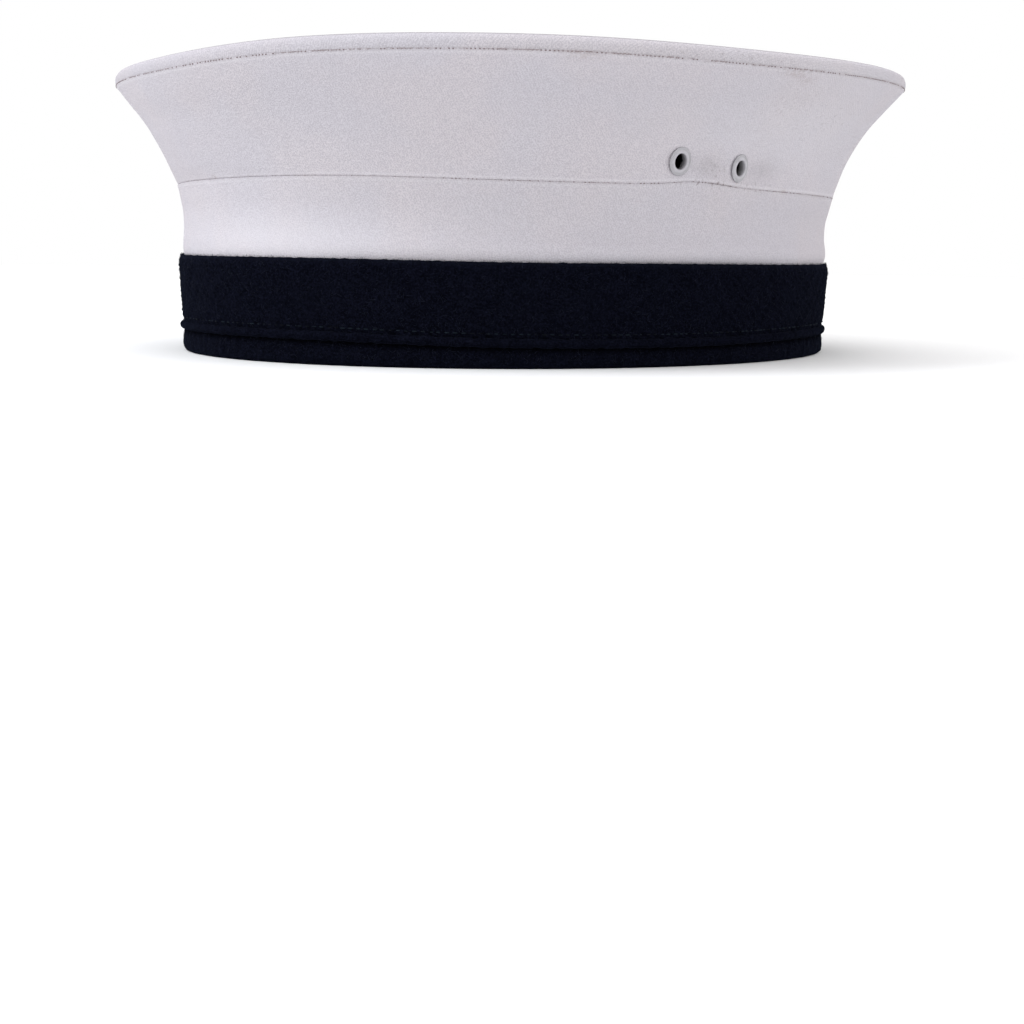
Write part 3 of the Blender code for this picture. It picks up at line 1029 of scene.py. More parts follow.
@dataclass(frozen=True)
class SoilAndPaintedLight:
    """What is laid on the white cloth: soil over spots, soil with painted shade in thin patchy
    lines along the two seams, and painted shade in a grey line along the top of the rim's
    roll. Painted highlights run along the ridges beside the seams, and painted pools of
    light lie on the side."""

    form: CapForm
    stitch_line: float = 0.32 * MM
    seam_line: float = 0.30 * MM
    seam_share: float = 0.7
    worn_side: float = math.radians(70.0)
    # Rust and dust along the seams, with more towards the worn side: soil, with painted shade in the
    # seams' grooves.
    rust: tuple[float, float] = (0.04, 0.14)
    dust: tuple[float, float] = (0.10, 0.18)
    specks: float = 0.5
    # A painted shade line along the top of the rim's roll: its amount, and where it starts and how far it
    # grows, in shares of the roll's radius.
    crest_shade: float = 0.80
    crest_shade_start: float = 0.83
    crest_shade_span: float = 0.09
    # Painted highlights along the ridges beside the seams: where each runs, in widths of the seam's line,
    # and the angle round the cap where it is brightest.
    stitch_highlight: tuple[float, float] = (-2.1, math.radians(200.0))
    upper_highlight: tuple[float, float] = (2.0, math.radians(75.0))
    lower_highlight: tuple[float, float] = (-2.0, math.radians(195.0))

    def painted_highlight_line(self, distance: Array, around: Array, fold: tuple[float, float]) -> Array:
        """A painted highlight along the ridge beside a seam, brightest at one angle round the cap.

        Args:
            distance: Distances above the seam, in widths of its soiled line.
            around: Angles round the cap, in radians.
            fold: Where the line runs, in those widths, and the angle where it is brightest.

        Returns:
            Values from 0 to 1.
        """
        offset, place = fold
        return bell(distance - offset) * nearness(around, place)

    def marks(self, points: Array, around: Array) -> dict[str, Array]:
        """The marks rust, dust, specks and pale. Rust and dust also hold painted shade, and pale holds
        painted highlights and painted pools of light.

        Args:
            points: Points of the cloth.
            around: Their angles round the cap, in radians.

        Returns:
            Their values, from 0 to 1.
        """
        form = self.form
        height = points[..., 2]
        above_rim = height - form.rim_height - form.rim_lift(around)
        at_stitches = (height - form.stitch_height - form.rim_lift(around)) / self.stitch_line
        at_seam = (height - form.seam_height - form.seam_lift(around)) / self.seam_line
        # The seams' lines, where soil and painted shade in the grooves are laid on.
        lines = bell(at_stitches) + self.seam_share * bell(at_seam)
        patchy = 0.7 + 0.3 * ripples(around, height, (7, 13, 29, 61), 0.0, seed=5)
        worn = nearness(around, self.worn_side)
        # Painted shade along the top of the rim's roll, put into the dust mark.
        crest_shade = np.clip((above_rim / form.roll_radius - self.crest_shade_start) / self.crest_shade_span, 0.0, 1.0)
        # Painted highlights along the ridges beside the rim's stitches and the middle seam.
        painted_highlights = self.painted_highlight_line(at_stitches, around, self.stitch_highlight)
        painted_highlights = painted_highlights + self.painted_highlight_line(at_seam, around, self.upper_highlight)
        painted_highlights = painted_highlights + self.painted_highlight_line(at_seam, around, self.lower_highlight)
        painted_crest_shade = self.crest_shade * crest_shade * crest_shade * (3.0 - 2.0 * crest_shade)
        # Along the seams rust and dust are also painted shade in the grooves, and dust also takes the
        # painted shade line along the top of the rim's roll.
        marked = {
            "rust": (RUST_SPOTS, (self.rust[0] + self.rust[1] * worn) * lines * patchy),
            "dust": (DUST_SPOTS, (self.dust[0] + self.dust[1] * worn) * lines + painted_crest_shade),
            "specks": (SPECK_SPOTS, self.specks * lines),
            "pale": (PAINTED_LIGHT_SPOTS, painted_highlights),
        }
        return {
            name: np.clip(spots_at(spots, around, height, form.radius) + along_seams, 0.0, 1.0)
            for name, (spots, along_seams) in marked.items()
        }


@dataclass
class FlaredSide(Cloth):
    """The white panel that flares from the middle seam to the rim's stitched line."""

    form: CapForm
    name: str = "side_panel"
    wall: float = 1.7 * MM
    corner: float = 0.22 * MM
    rows: int = 66
    columns: int = 1080
    inner_rows: int = 6
    cut: Cut = Cut.SECTOR
    ease: float = 0.22 * MM
    pull: float = math.tan(math.radians(9.0))
    pull_reach: float = 6.5 * MM
    seam_ridge: float = math.radians(75.0)
    stitch_ridge: float = math.radians(200.0)

    def flare(self, up: Array) -> tuple[Array, Array]:
        """Half the length and half the width of the panel's oval at a share of the way up,
        between the middle seam's and the stitched line's."""
        knots = [row.up for row in FLARE]
        ends = smooth_curve(up, knots, [row.ends for row in FLARE])
        sides = smooth_curve(up, knots, [row.sides for row in FLARE])
        seam, stitched = self.form.seam, self.form.stitched
        half_length = seam.half_length + (stitched.half_length - seam.half_length) * ends
        half_width = seam.half_width + (stitched.half_width - seam.half_width) * sides
        return half_length, half_width

    @cached_property
    def eyelet_places(self) -> list[tuple[str, Side, float, float]]:
        """Each packed eyelet's name, side, angle round the cap and height."""
        places = []
        for side in Side:
            for end in ("rear", "front"):
                node = f"eyelet_{side.name.lower()}_{end}"
                low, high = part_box(node)
                endwise, height = ((low[axis] + high[axis]) / 2.0 for axis in (1, 2))
                rise = self.form.stitch_height - self.form.seam_height
                half_length, _ = self.flare(np.array((height - self.form.seam_height) / rise))
                around = side.value * math.acos(-endwise / float(half_length)) % FULL_TURN
                places.append((node, side, around, height))
        return places

    def push(self, around: Array, height: Array) -> Array:
        """How far the cloth stands out of its even flare: soft ripples, and round each
        eyelet a tilt towards the front that fades as a bell does.

        Args:
            around: Angles round the cap, in radians.
            height: Heights, in metres.

        Returns:
            Distances outwards, in metres.
        """
        share = (height - self.form.seam_height) / (self.form.stitch_height - self.form.seam_height)
        quiet = np.sin(math.pi * np.clip(share, 0.0, 1.0))
        total = self.ease * quiet * ripples(around, height, (5, 8, 11, 14, 19), 60.0, seed=11)
        for _, side, place, rise in self.eyelet_places:
            along = arc_from(place, around, self.form.radius)
            fading = bell(np.hypot(along, height - rise) / self.pull_reach)
            total = total + side.value * self.pull * along * fading
        return total

    def face(self, around: Array, up: Array) -> Array:
        """Points of the outer face: the flare's ovals, pushed in and out."""
        low = self.form.seam_height + self.form.seam_lift(around) + self.corner
        high = self.form.stitch_height + self.form.rim_lift(around) - self.corner
        height = low + (high - low) * up
        push = self.push(around, height)
        push = push + self.ridge(around, height - low, self.seam_ridge)
        push = push + self.ridge(around, high - height, self.stitch_ridge)
        half_length, half_width = self.flare(up)
        return place_round(half_length + push, half_width + push, height, around)

    def up_at(self, around: float, height: float) -> float:
        """The share of the way up the panel of a height at an angle."""
        low, high = (float(self.face(np.array(around), np.array(up))[2]) for up in (0.0, 1.0))
        return (height - low) / (high - low)

    def marks(self, points: Array, around: Array) -> dict[str, Array]:
        """The panel's soil and painted light."""
        return SoilAndPaintedLight(self.form).marks(points, around)


@dataclass
class Stand(Cloth):
    """The white stand below the middle seam, which goes down behind the navy band."""

    form: CapForm
    name: str = "stand_cloth"
    wall: float = 1.4 * MM
    corner: float = 0.22 * MM
    rows: int = 52
    columns: int = 1080
    inner_rows: int = 6
    cut: Cut = Cut.STRIP
    ease: float = 0.20 * MM
    foot: float = 1.6 * MM
    inset: float = 1.6 * MM
    foot_share: float = 0.14
    hidden: float = 0.36
    seam_gap: float = 0.02 * MM
    spaced_share: float = 0.28
    spaced_rows: int = 10
    seam_ridge: float = math.radians(195.0)

    def rising(self) -> Array:
        """Rows are closer together above the band, where they show."""
        behind = np.linspace(0.0, self.spaced_share, self.spaced_rows, endpoint=False)
        shown = np.linspace(self.spaced_share, 1.0, self.rows - self.spaced_rows)
        return np.concatenate([behind, shown])

    def face(self, around: Array, up: Array) -> Array:
        """Points of the outer face: behind the band an oval that leans as the band does,
        and above it ovals between the waist and the middle seam."""
        hidden = self.hidden
        body = self.form.body.grown(-self.inset)
        leaning = body.grown(self.form.band_lean)
        waist, seam = self.form.waist, self.form.seam
        knots = [0.0, self.foot_share, hidden] + [hidden + (1.0 - hidden) * row.up for row in STAND]
        longer = seam.half_length - waist.half_length
        wider = seam.half_width - waist.half_width
        lengths = [body.half_length, body.half_length, leaning.half_length]
        lengths += [waist.half_length + longer * row.ends for row in STAND]
        widths = [body.half_width, body.half_width, leaning.half_width]
        widths += [waist.half_width + wider * row.sides for row in STAND]
        top = self.form.seam_height + self.form.seam_lift(around) - self.corner - self.seam_gap
        edge = self.form.band_top + self.form.band_lift(around)
        below = np.clip(up / hidden, 0.0, 1.0)
        above = (up - hidden) / (1.0 - hidden)
        behind = self.foot + (edge - self.foot) * below
        height = np.where(up < hidden, behind, edge + (top - edge) * above)
        quiet = np.sin(math.pi * np.clip(above, 0.0, 1.0))
        push = self.ease * quiet * ripples(around, height, (4, 7, 9, 13, 17), 60.0, seed=23)
        push = push + self.ridge(around, top - height, self.seam_ridge)
        half_length = smooth_curve(up, knots, lengths) + push
        half_width = smooth_curve(up, knots, widths) + push
        return place_round(half_length, half_width, height, around)

    def marks(self, points: Array, around: Array) -> dict[str, Array]:
        """The stand's soil and painted light."""
        return SoilAndPaintedLight(self.form).marks(points, around)


@dataclass
class CrownCloth:
    """The white disc of the crown and the edge that rolls over the rim."""

    form: CapForm
    name: str = "crown_cloth"
    wall: float = 1.3 * MM
    corner: float = 0.25 * MM
    sag: float = 2.4 * MM
    squareness: float = 0.86
    pucker: float = 0.07 * MM
    swell: float = 0.25 * MM
    fade: float = 0.9 * MM
    roll_rows: int = 20
    disc_rows: int = 22
    columns: int = 1080

    def roll(self, depth: float, rows: int, around: Array) -> tuple[Array, Array]:
        """Rows of the roll from its sewn edge to its top, in the plane of its round section.

        Reach and rise are the radius times the cosine and the sine to a power below one,
        which squares the roll a little. Puckers at the stitches ease out towards the top.

        Args:
            depth: How far inside the outer face the rows lie.
            rows: How many rows there are.
            around: Angles round the cap, in radians.

        Returns:
            How far each point reaches out of the roll's middle and rises above it.
        """
        form = self.form
        radius = form.roll_radius - depth
        start = -form.roll_undercut + self.corner / form.roll_radius
        turn = np.linspace(start, 0.5 * math.pi, rows)[:, None]
        reach = radius * np.abs(np.cos(turn)) ** self.squareness
        rise = radius * np.sign(np.sin(turn)) * np.abs(np.sin(turn)) ** self.squareness
        puckers = ripples(around, 0.0 * around, (43, 61, 83, 107, 139, 187), 0.0, seed=3)
        return reach + self.pucker * puckers * np.cos(turn), rise + 0.0 * puckers

    def disc(self, depth: float, rows: int, around: Array) -> Array:
        """Rows from the rim to near the middle of the crown. The height falls with the square
        of the distance from the rim, and the cloth swells in soft waves near the rim.

        Args:
            depth: How far below the upper face the rows lie.
            rows: How many rows there are.
            around: Angles round the cap, in radians.

        Returns:
            Points of shape (rows, columns, 3).
        """
        form = self.form
        edge = form.rim.grown(-form.roll_radius)
        share = (1.0 - np.linspace(0.0, 1.0, rows + 1)[1:] ** 1.3)[:-1, None]
        swell = self.swell * share**2 * (1.0 - share) * 4.0
        waves = swell * ripples(around, 20.0 * MM * share, (3, 5, 9, 12), 90.0, seed=8)
        height = form.rim_height + form.roll_radius - depth - self.sag * (1.0 - share**2)
        height = height + form.rim_lift(around) * share**2 + waves
        return place_round(edge.half_length * share, edge.half_width * share, height, around)

    def rows_of_profile(self, around: Array) -> Array:
        """All rows: from the middle of the underside out to the roll, down inside it, round
        the sewn edge, up the outside and back over the crown to the middle.

        Args:
            around: Angles round the cap, in radians.

        Returns:
            Points of shape (rows, columns, 3).
        """
        form = self.form
        outer = np.stack(self.roll(0.0, self.roll_rows, around), axis=-1)
        inner = np.stack(self.roll(self.wall, 7, around), axis=-1)
        downward = unit(outer[0] - outer[1])
        facing = np.stack([-downward[..., 1], downward[..., 0]], axis=-1)
        inside_corner = corner_round(inner[0], self.corner, downward, facing)
        outside_corner = corner_round(outer[0], self.corner, downward, -facing)[::-1]
        section = np.concatenate([inner[::-1], inside_corner, outside_corner, outer])
        edge = form.rim.grown(-form.roll_radius)
        reach, rise = section[..., 0], section[..., 1]
        height = form.rim_height + form.rim_lift(around) + rise
        roll = edge.points(reach, height, around)
        upper = self.disc(0.0, self.disc_rows, around)
        under = self.disc(self.wall, 10, around)[::-1]
        return np.concatenate([under, roll, upper])

    def flat_places(self, rows: Array) -> Array:
        """Each point's place on the flat disc: its own direction from the middle, and the
        length of cloth from the middle to it.

        Args:
            rows: The whole profile, of shape (rows, columns, 3).

        Returns:
            Lengths in metres, of shape (rows, columns + 1, 2).
        """
        whole = np.concatenate([rows, rows[:, :1]], axis=1)
        run = lengths_along(whole, axis=0)
        level = whole[..., :2]
        distance = np.linalg.norm(level, axis=-1, keepdims=True)
        return level / distance * (run[-1:] - run + distance[-1:, :, 0])[..., None]

    def marked_share(self, rows: Array, around: Array) -> Array:
        """How much of the soil and painted light each point takes: all of it on the roll,
        falling to none on the flat disc with the distance inside the roll's inner edge.

        Args:
            rows: The whole profile, of shape (rows, columns, 3).
            around: Angles round the cap, in radians.

        Returns:
            Shares from 0 to 1.
        """
        edge = self.form.rim.grown(-self.form.roll_radius)
        fuller = 1.0 - BACK_FULLNESS * np.cos(around)
        out = np.hypot(rows[..., 0] / (edge.half_width * fuller), rows[..., 1] / edge.half_length)
        return np.clip(1.0 + (out - 1.0) * self.form.radius / self.fade, 0.0, 1.0)

    def flat_size(self) -> tuple[float, float]:
        """The flat disc's width and length, across its sewn edge."""
        around = turns(self.columns)[None, :]
        rows = self.rows_of_profile(around)
        sewn = self.flat_places(rows)[-self.disc_rows - self.roll_rows]
        width, length = np.ptp(sewn, axis=0)
        return float(width), float(length)

    def build(self) -> bpy.types.Object:
        """Makes the crown a closed mesh, with its underside a wall below.

        Returns:
            The object.
        """
        columns = self.columns
        around = turns(columns)[None, :]
        rows = self.rows_of_profile(around)
        top = self.form.rim_height + self.form.roll_radius - self.sag
        tips = np.array([[0.0, 0.0, top - self.wall], [0.0, 0.0, top]])
        first_tip = len(rows) * columns
        column = np.arange(columns)
        beside = (column + 1) % columns
        last = first_tip - columns
        start = np.stack([np.full(columns, first_tip), column, beside], axis=-1)
        end = np.stack([last + column, np.full(columns, first_tip + 1), last + beside], axis=-1)
        flat = self.flat_places(rows)
        middle = np.zeros((columns, 2))
        start_cut = np.stack([middle, flat[0, :-1], flat[0, 1:]], axis=1).reshape(-1, 2)
        end_cut = np.stack([flat[-1, :-1], middle, flat[-1, 1:]], axis=1).reshape(-1, 2)
        marks = SoilAndPaintedLight(self.form).marks(rows, np.broadcast_to(around, rows.shape[:2]))
        marked = self.marked_share(rows, around)
        patch = Patch(
            points=np.concatenate([rows.reshape(-1, 3), tips]),
            faces=[wrapped_faces(len(rows), columns, closed=False), start, end],
            cut=np.concatenate([corner_values(flat, len(rows) - 1, columns), start_cut, end_cut]),
            marks={
                name: np.concatenate([(marked * value).ravel(), [0.0, 0.0]])
                for name, value in marks.items()
            },
        )
        return patch.to_object(self.name)


@dataclass
class Band(Cloth):
    """The navy wool band."""

    form: CapForm
    name: str = "wool_band"
    wall: float = 1.2 * MM
    corner: float = 0.5 * MM
    rows: int = 36
    columns: int = 840
    inner_rows: int = 6
    cut: Cut = Cut.STRIP
    lumps: float = 0.26 * MM
    ease: float = 0.15 * MM
    tuck: float = 0.35 * MM
    tuck_share: float = 0.09
    fold: float = 0.38 * MM
    fold_share: float = 0.11
    smooth_share: float = 0.10
    overlap: float = 0.15 * MM
    highlight_reach: float = 0.9 * MM
    highlight_amount: float = 0.16

    def face(self, around: Array, up: Array) -> Array:
        """Points of the outer face: an oval that leans outwards with the height, drawn in
        at the stitches just above the piping and folded in at the top, with soft lumps."""
        low = self.form.band_bottom + self.form.welt_lift(around) - self.overlap
        high = self.form.band_top + self.form.band_lift(around) - self.corner
        height = low + (high - low) * up
        folded = np.clip((up - 1.0 + self.fold_share) / self.fold_share, 0.0, 1.0)
        drawn = self.tuck * bell(up / self.tuck_share) + self.fold * folded**2
        lumps = self.lumps * ripples(around, height, (97, 131, 173, 211, 263), 3000.0, seed=31)
        lumps = lumps * np.clip((1.0 - up) / self.smooth_share, 0.0, 1.0)
        ease = self.ease * ripples(around, height, (5, 9, 12, 16), 40.0, seed=37)
        push = self.form.band_lean * up - drawn + lumps + ease * up
        return self.form.body.points(push, height, around)

    def marks(self, points: Array, around: Array) -> dict[str, Array]:
        """A painted highlight along the top edge, where the folded edge faces the light, carried in
        the mark named nap.
        """
        from_edge = points[..., 2] - self.form.band_top - self.form.band_lift(around)
        return {"nap": self.highlight_amount * bell(from_edge / self.highlight_reach)}


@dataclass
class Hem(Cloth):
    """The navy wool folded under the bottom edge and up inside, on which the cap rests."""

    form: CapForm
    name: str = "wool_hem"
    wall: float = 1.2 * MM
    roll: float = 1.3 * MM
    turn_up: float = 11.0 * MM
    gap: float = 2.1 * MM
    tucked_in: float = 0.25 * MM
    lumps: float = 0.16 * MM
    drawn: float = 0.35 * MM
    drawn_reach: float = 1.1 * MM
    shade: float = 0.9
    shade_reach: float = 1.3 * MM
    rows: int = 42
    columns: int = 720
    inner_rows: int = 12
    corner: float = 0.5 * MM
    cut: Cut = Cut.STRIP

    def face(self, around: Array, up: Array) -> Array:
        """Points of the outer face, which starts inside the cap: down the turn-up, under the
        fold on two quarter rounds with a flat between, and up the outside to the piping."""
        top = self.groove(around) - self.corner + self.tucked_in
        depth = 2.0 * self.wall + self.gap
        knots = (0.0, 0.40, 0.52, 0.64, 1.0)
        lane = np.interp(up, knots, (-depth, -depth, -depth + self.roll, -self.roll, 0.0))
        inside = np.clip(1.0 - up / knots[1], 0.0, 1.0)
        outside = np.clip((up - knots[3]) / (1.0 - knots[3]), 0.0, 1.0)
        quarter = np.clip(outside * top / self.roll, 0.0, 1.0) * 0.5 * math.pi
        out = np.where(outside > 0.0, -self.roll * (1.0 - np.sin(quarter)), lane)
        rounded = self.roll * (1.0 - np.cos(quarter))
        rise = np.where(outside * top < self.roll, rounded, outside * top)
        turn_in = np.clip((up - knots[1]) / (knots[2] - knots[1]), 0.0, 1.0) * 0.5 * math.pi
        turning = (up > knots[1]) & (up <= knots[2])
        out = np.where(turning, -depth + self.roll * (1.0 - np.cos(turn_in)), out)
        corner = self.roll * (1.0 - np.sin(turn_in))
        height = np.where(up <= knots[1], self.roll + (self.turn_up - self.roll) * inside, corner)
        height = np.where(up > knots[2], 0.0, height)
        height = np.where(outside > 0.0, rise, height)
        lumps = self.lumps * ripples(around, height, (89, 127, 167, 223), 2500.0, seed=41)
        drawn = self.drawn * bell((1.0 - outside) * top / self.drawn_reach)
        out = out + np.where(outside > 0.1, lumps - drawn, 0.0)
        return self.form.body.points(out, height, around)

    def groove(self, around: Array) -> Array:
        """The height of the groove under the piping."""
        return self.form.welt_height - self.form.welt_radius + self.form.welt_lift(around)

    def marks(self, points: Array, around: Array) -> dict[str, Array]:
        """The shade in the groove under the piping."""
        from_groove = points[..., 2] - self.groove(around)
        return {"shade": self.shade * bell(from_groove / self.shade_reach)}


@dataclass
class Welt:
    """The navy piping under the band: a thin bead round the cap."""

    form: CapForm
    name: str = "wool_piping"
    proud: float = 0.8 * MM
    fullness: float = 1.15
    lumps: float = 0.11 * MM
    sides: int = 12
    columns: int = 1080

    def build(self) -> bpy.types.Object:
        """Makes the bead: a circle carried round the cap, with soft lumps.

        Returns:
            The object.
        """
        form = self.form
        around = turns(self.columns)[None, :]
        turn = turns(self.sides)[:, None]
        lumps = self.lumps * ripples(around, turn * MM, (71, 109, 151, 199, 251), 900.0, seed=47)
        radius = self.fullness * form.welt_radius + lumps
        out = self.proud - form.welt_radius + radius * np.cos(turn)
        height = form.welt_height + form.welt_lift(around) + radius * np.sin(turn)
        points = form.body.points(out, height, around)
        # The piping takes none of the band's painted highlight.
        marks = {"nap": np.zeros(points.shape[:2])}
        faces = [wrapped_faces(self.sides, self.columns, closed=True)]
        return Patch(points.reshape(-1, 3), faces, None, marks).to_object(self.name)


@dataclass(frozen=True)
class Thread:
    """Short stitches laid end to end, each a bent bead of a few sides."""

    length: float
    thickness: float
    arch: float
    sides: int = 6

    def sew(self, name: str, middles: Array, along: Array, outwards: Array) -> bpy.types.Object:
        """Makes one mesh of all stitches of a row.

        Each stitch is a tube through four rings and two tips. Rings sink below the middle
        with the square of their distance from it, so that the ends dive into the cloth.

        Args:
            name: The object's name.
            middles: The middle of each stitch.
            along: Each stitch's direction.
            outwards: The direction out of the cloth at each stitch.

        Returns:
            The object.
        """
        places = np.array([-0.36, -0.22, 0.22, 0.36]) * self.length
        girths = np.array([0.7, 1.0, 1.0, 0.7]) * 0.5 * self.thickness
        turn = turns(self.sides)
        sideways = np.cross(along, outwards)
        sink = self.arch * (2.0 * places / self.length) ** 2
        spine = (
            middles[:, None, :]
            + places[None, :, None] * along[:, None, :]
            - sink[None, :, None] * outwards[:, None, :]
        )
        spokes = (
            np.cos(turn)[None, :, None] * outwards[:, None, :]
            + np.sin(turn)[None, :, None] * sideways[:, None, :]
        )
        rings = spine[:, :, None, :] + girths[None, :, None, None] * spokes[:, None, :, :]
        reach = 0.5 * self.length * along - self.arch * outwards
        back = -0.5 * self.length * along - self.arch * outwards
        rings = rings.reshape(len(middles), -1, 3)
        tips = [(middles + back)[:, None], (middles + reach)[:, None]]
        return beads_to_object(name, np.concatenate([rings, *tips], axis=1), len(places), self.sides)


def beads_to_object(name: str, points: Array, rings: int, sides: int) -> bpy.types.Object:
    """One mesh of many closed tubes, each with a tip at either end.

    Args:
        name: The object's name.
        points: For each tube its rings' points in turn, then its first and last tip.
        rings: How many rings a tube has.
        sides: How many points a ring has.

    Returns:
        The object.
    """
    count = points.shape[1]
    side = np.arange(sides)
    beside = (side + 1) % sides
    ring = np.arange(rings - 1)[:, None] * sides
    corners = (ring + side, ring + beside, ring + sides + beside, ring + sides + side)
    quads = np.stack(corners, axis=-1).reshape(-1, 4)
    first = np.stack([np.full(sides, count - 2), beside, side], axis=-1)
    last = (rings - 1) * sides
    final = np.stack([last + side, last + beside, np.full(sides, count - 1)], axis=-1)
    offsets = (np.arange(len(points)) * count)[:, None, None]
    faces = [(part[None] + offsets).reshape(-1, part.shape[1]) for part in (quads, first, final)]
    return Patch(points.reshape(-1, 3), faces).to_object(name)


@dataclass
class Stitching:
    """The rows of stitches: under the rim, in the middle seam and above the piping. Dark knots
    show between the white ones, where the thread goes through the cloth: soil on the thread,
    with the shade of the needle holes painted on."""

    panel: FlaredSide
    band: Band
    fine_pitch: float = 1.05 * MM
    coarse_pitch: float = 2.25 * MM
    unevenness: float = 0.08
    band_line: float = 0.06

    def row(
        self, cloth: Cloth, up: float, pitch: float, shift: Array, kept: float = 1.0
    ) -> tuple[Array, Array, Array]:
        """Places stitches along a level line of a cloth, each a little off its even place.

        Args:
            cloth: The cloth that they follow.
            up: The share of the way up it.
            pitch: The length from one stitch to the next.
            shift: How far along, up and outwards they lie off that line.
            kept: The share of the stitches that show.

        Returns:
            Their middles, their directions and the directions out of the cloth.
        """
        fine = np.linspace(0.0, FULL_TURN, 3601)
        run = lengths_along(cloth.face(fine, np.full_like(fine, up)), axis=0)
        count = int(round(run[-1] / pitch))
        rng = np.random.default_rng(count)
        place = np.arange(count) + rng.uniform(-self.unevenness, self.unevenness, count)
        place = place[rng.uniform(size=count) < kept]
        around = np.interp(place / count * run[-1], run, fine)
        ups = np.full_like(around, up)
        along, upward, outwards = cloth.directions(around, ups)
        off_line = shift[0] * along + shift[1] * upward + shift[2] * outwards
        return cloth.face(around, ups) + off_line, along, outwards

    def build(self) -> dict[str, bpy.types.Object]:
        """Makes the rows.

        Returns:
            The rows' objects, by name.
        """
        thread = Thread(length=0.86 * MM, thickness=0.26 * MM, arch=0.14 * MM)
        knot = Thread(length=0.46 * MM, thickness=0.30 * MM, arch=0.06 * MM)
        dashes = Thread(length=1.5 * MM, thickness=0.30 * MM, arch=0.16 * MM)
        panel = self.panel
        fine = self.fine_pitch
        above = np.array([0.0, panel.corner, -0.14 * MM])
        below = np.array([0.0, -panel.corner, -0.16 * MM])
        between = np.array([0.5 * fine, 0.0, 0.10 * MM])
        on_band = np.array([0.0, 0.0, 0.05 * MM])
        band_row = (self.band, self.band_line, self.coarse_pitch, on_band)
        rows = {
            "rim_stitches": (thread, (panel, 1.0, fine, above)),
            "seam_stitches": (thread, (panel, 0.0, fine, below)),
            "rim_knots": (knot, (panel, 1.0, fine, above + between, 0.75)),
            "seam_knots": (knot, (panel, 0.0, fine, below + between, 0.40)),
            "band_stitches": (dashes, band_row),
        }
        return {name: sewn.sew(name, *self.row(*line)) for name, (sewn, line) in rows.items()}


@dataclass(frozen=True)
class Nap:
    """Loose fibres that stand off the wool, each a thin bent strand."""

    cloth: Cloth
    length: float = 1.9 * MM
    thickness: float = 0.045 * MM
    rise: float = 0.16 * MM
    sides: int = 3
    lying_lengths: tuple[float, float] = (0.35, 1.3)
    lying_bend: float = 0.35
    lying_rises: tuple[float, float] = (0.2, 1.6)
    fringe_lengths: tuple[float, float] = (0.10, 0.42)
    fringe_bend: float = 0.6
    fringe_lean: float = 0.8
    fringe_out: float = 0.25

    def lying(self, name: str, count: int, lowest: float, seed: int) -> bpy.types.Object:
        """Makes one mesh of many fibres that lie on the cloth.

        A fibre runs on a bow: a straight step in a random direction of the cloth, a sideways
        bend with the square of the step, and a rise that is highest at its middle.

        Args:
            name: The object's name.
            count: How many fibres there are.
            lowest: The share of the way up the cloth where they start.
            seed: Picks the places, directions, lengths and bends.

        Returns:
            The object.
        """
        rng = np.random.default_rng(seed)
        around = rng.uniform(0.0, FULL_TURN, count)
        up = rng.uniform(lowest, 1.0, count)
        along, upward, outwards = self.cloth.directions(around, up)
        heading = rng.uniform(0.0, FULL_TURN, (count, 1))
        straight = np.cos(heading) * along + np.sin(heading) * upward
        sideways = np.cos(heading) * upward - np.sin(heading) * along
        length = self.length * rng.uniform(*self.lying_lengths, (count, 1, 1))
        bend = rng.uniform(-self.lying_bend, self.lying_bend, (count, 1, 1))
        rise = self.rise * rng.uniform(*self.lying_rises, (count, 1, 1))
        steps = np.array([-0.5, -0.25, 0.0, 0.25, 0.5])[None, :, None]
        spine = (
            self.cloth.face(around, up)[:, None, :]
            + length * steps * straight[:, None, :]
            + length * bend * steps**2 * sideways[:, None, :]
            + rise * (1.0 - 4.0 * steps**2) * outwards[:, None, :]
        )
        return strands(name, spine, sideways, outwards, self.thickness, self.sides)

    def fringe(self, name: str, count: int, seed: int) -> bpy.types.Object:
        """Makes short fibres that stand out of the cloth's top edge.

        Args:
            name: The object's name.
            count: How many fibres there are.
            seed: Picks the places, leans and lengths.

        Returns:
            The object.
        """
        rng = np.random.default_rng(seed)
        around = rng.uniform(0.0, FULL_TURN, count)
        along, upward, outwards = self.cloth.directions(around, np.ones(count))
        turn = 0.5 * math.pi * rng.uniform(0.0, 1.0, (count, 1))
        inward = (1.0 - np.cos(turn)) * outwards
        corner = self.cloth.corner * (np.sin(turn) * upward - inward)
        roots = self.cloth.face(around, np.ones(count)) + corner
        leans = rng.normal(0.0, self.fringe_lean, (count, 1))
        straight = unit(upward + leans * along + self.fringe_out * outwards)
        sideways = unit(np.cross(straight, outwards))
        length = self.length * rng.uniform(*self.fringe_lengths, (count, 1, 1))
        bend = rng.uniform(-self.fringe_bend, self.fringe_bend, (count, 1, 1))
        steps = np.array([-0.25, 0.0, 0.3, 0.6, 1.0])[None, :, None]
        spine = (
            roots[:, None, :]
            + length * steps * straight[:, None, :]
            + length * bend * steps**2 * along[:, None, :]
        )
        return strands(name, spine, sideways, np.cross(sideways, straight), self.thickness, self.sides)


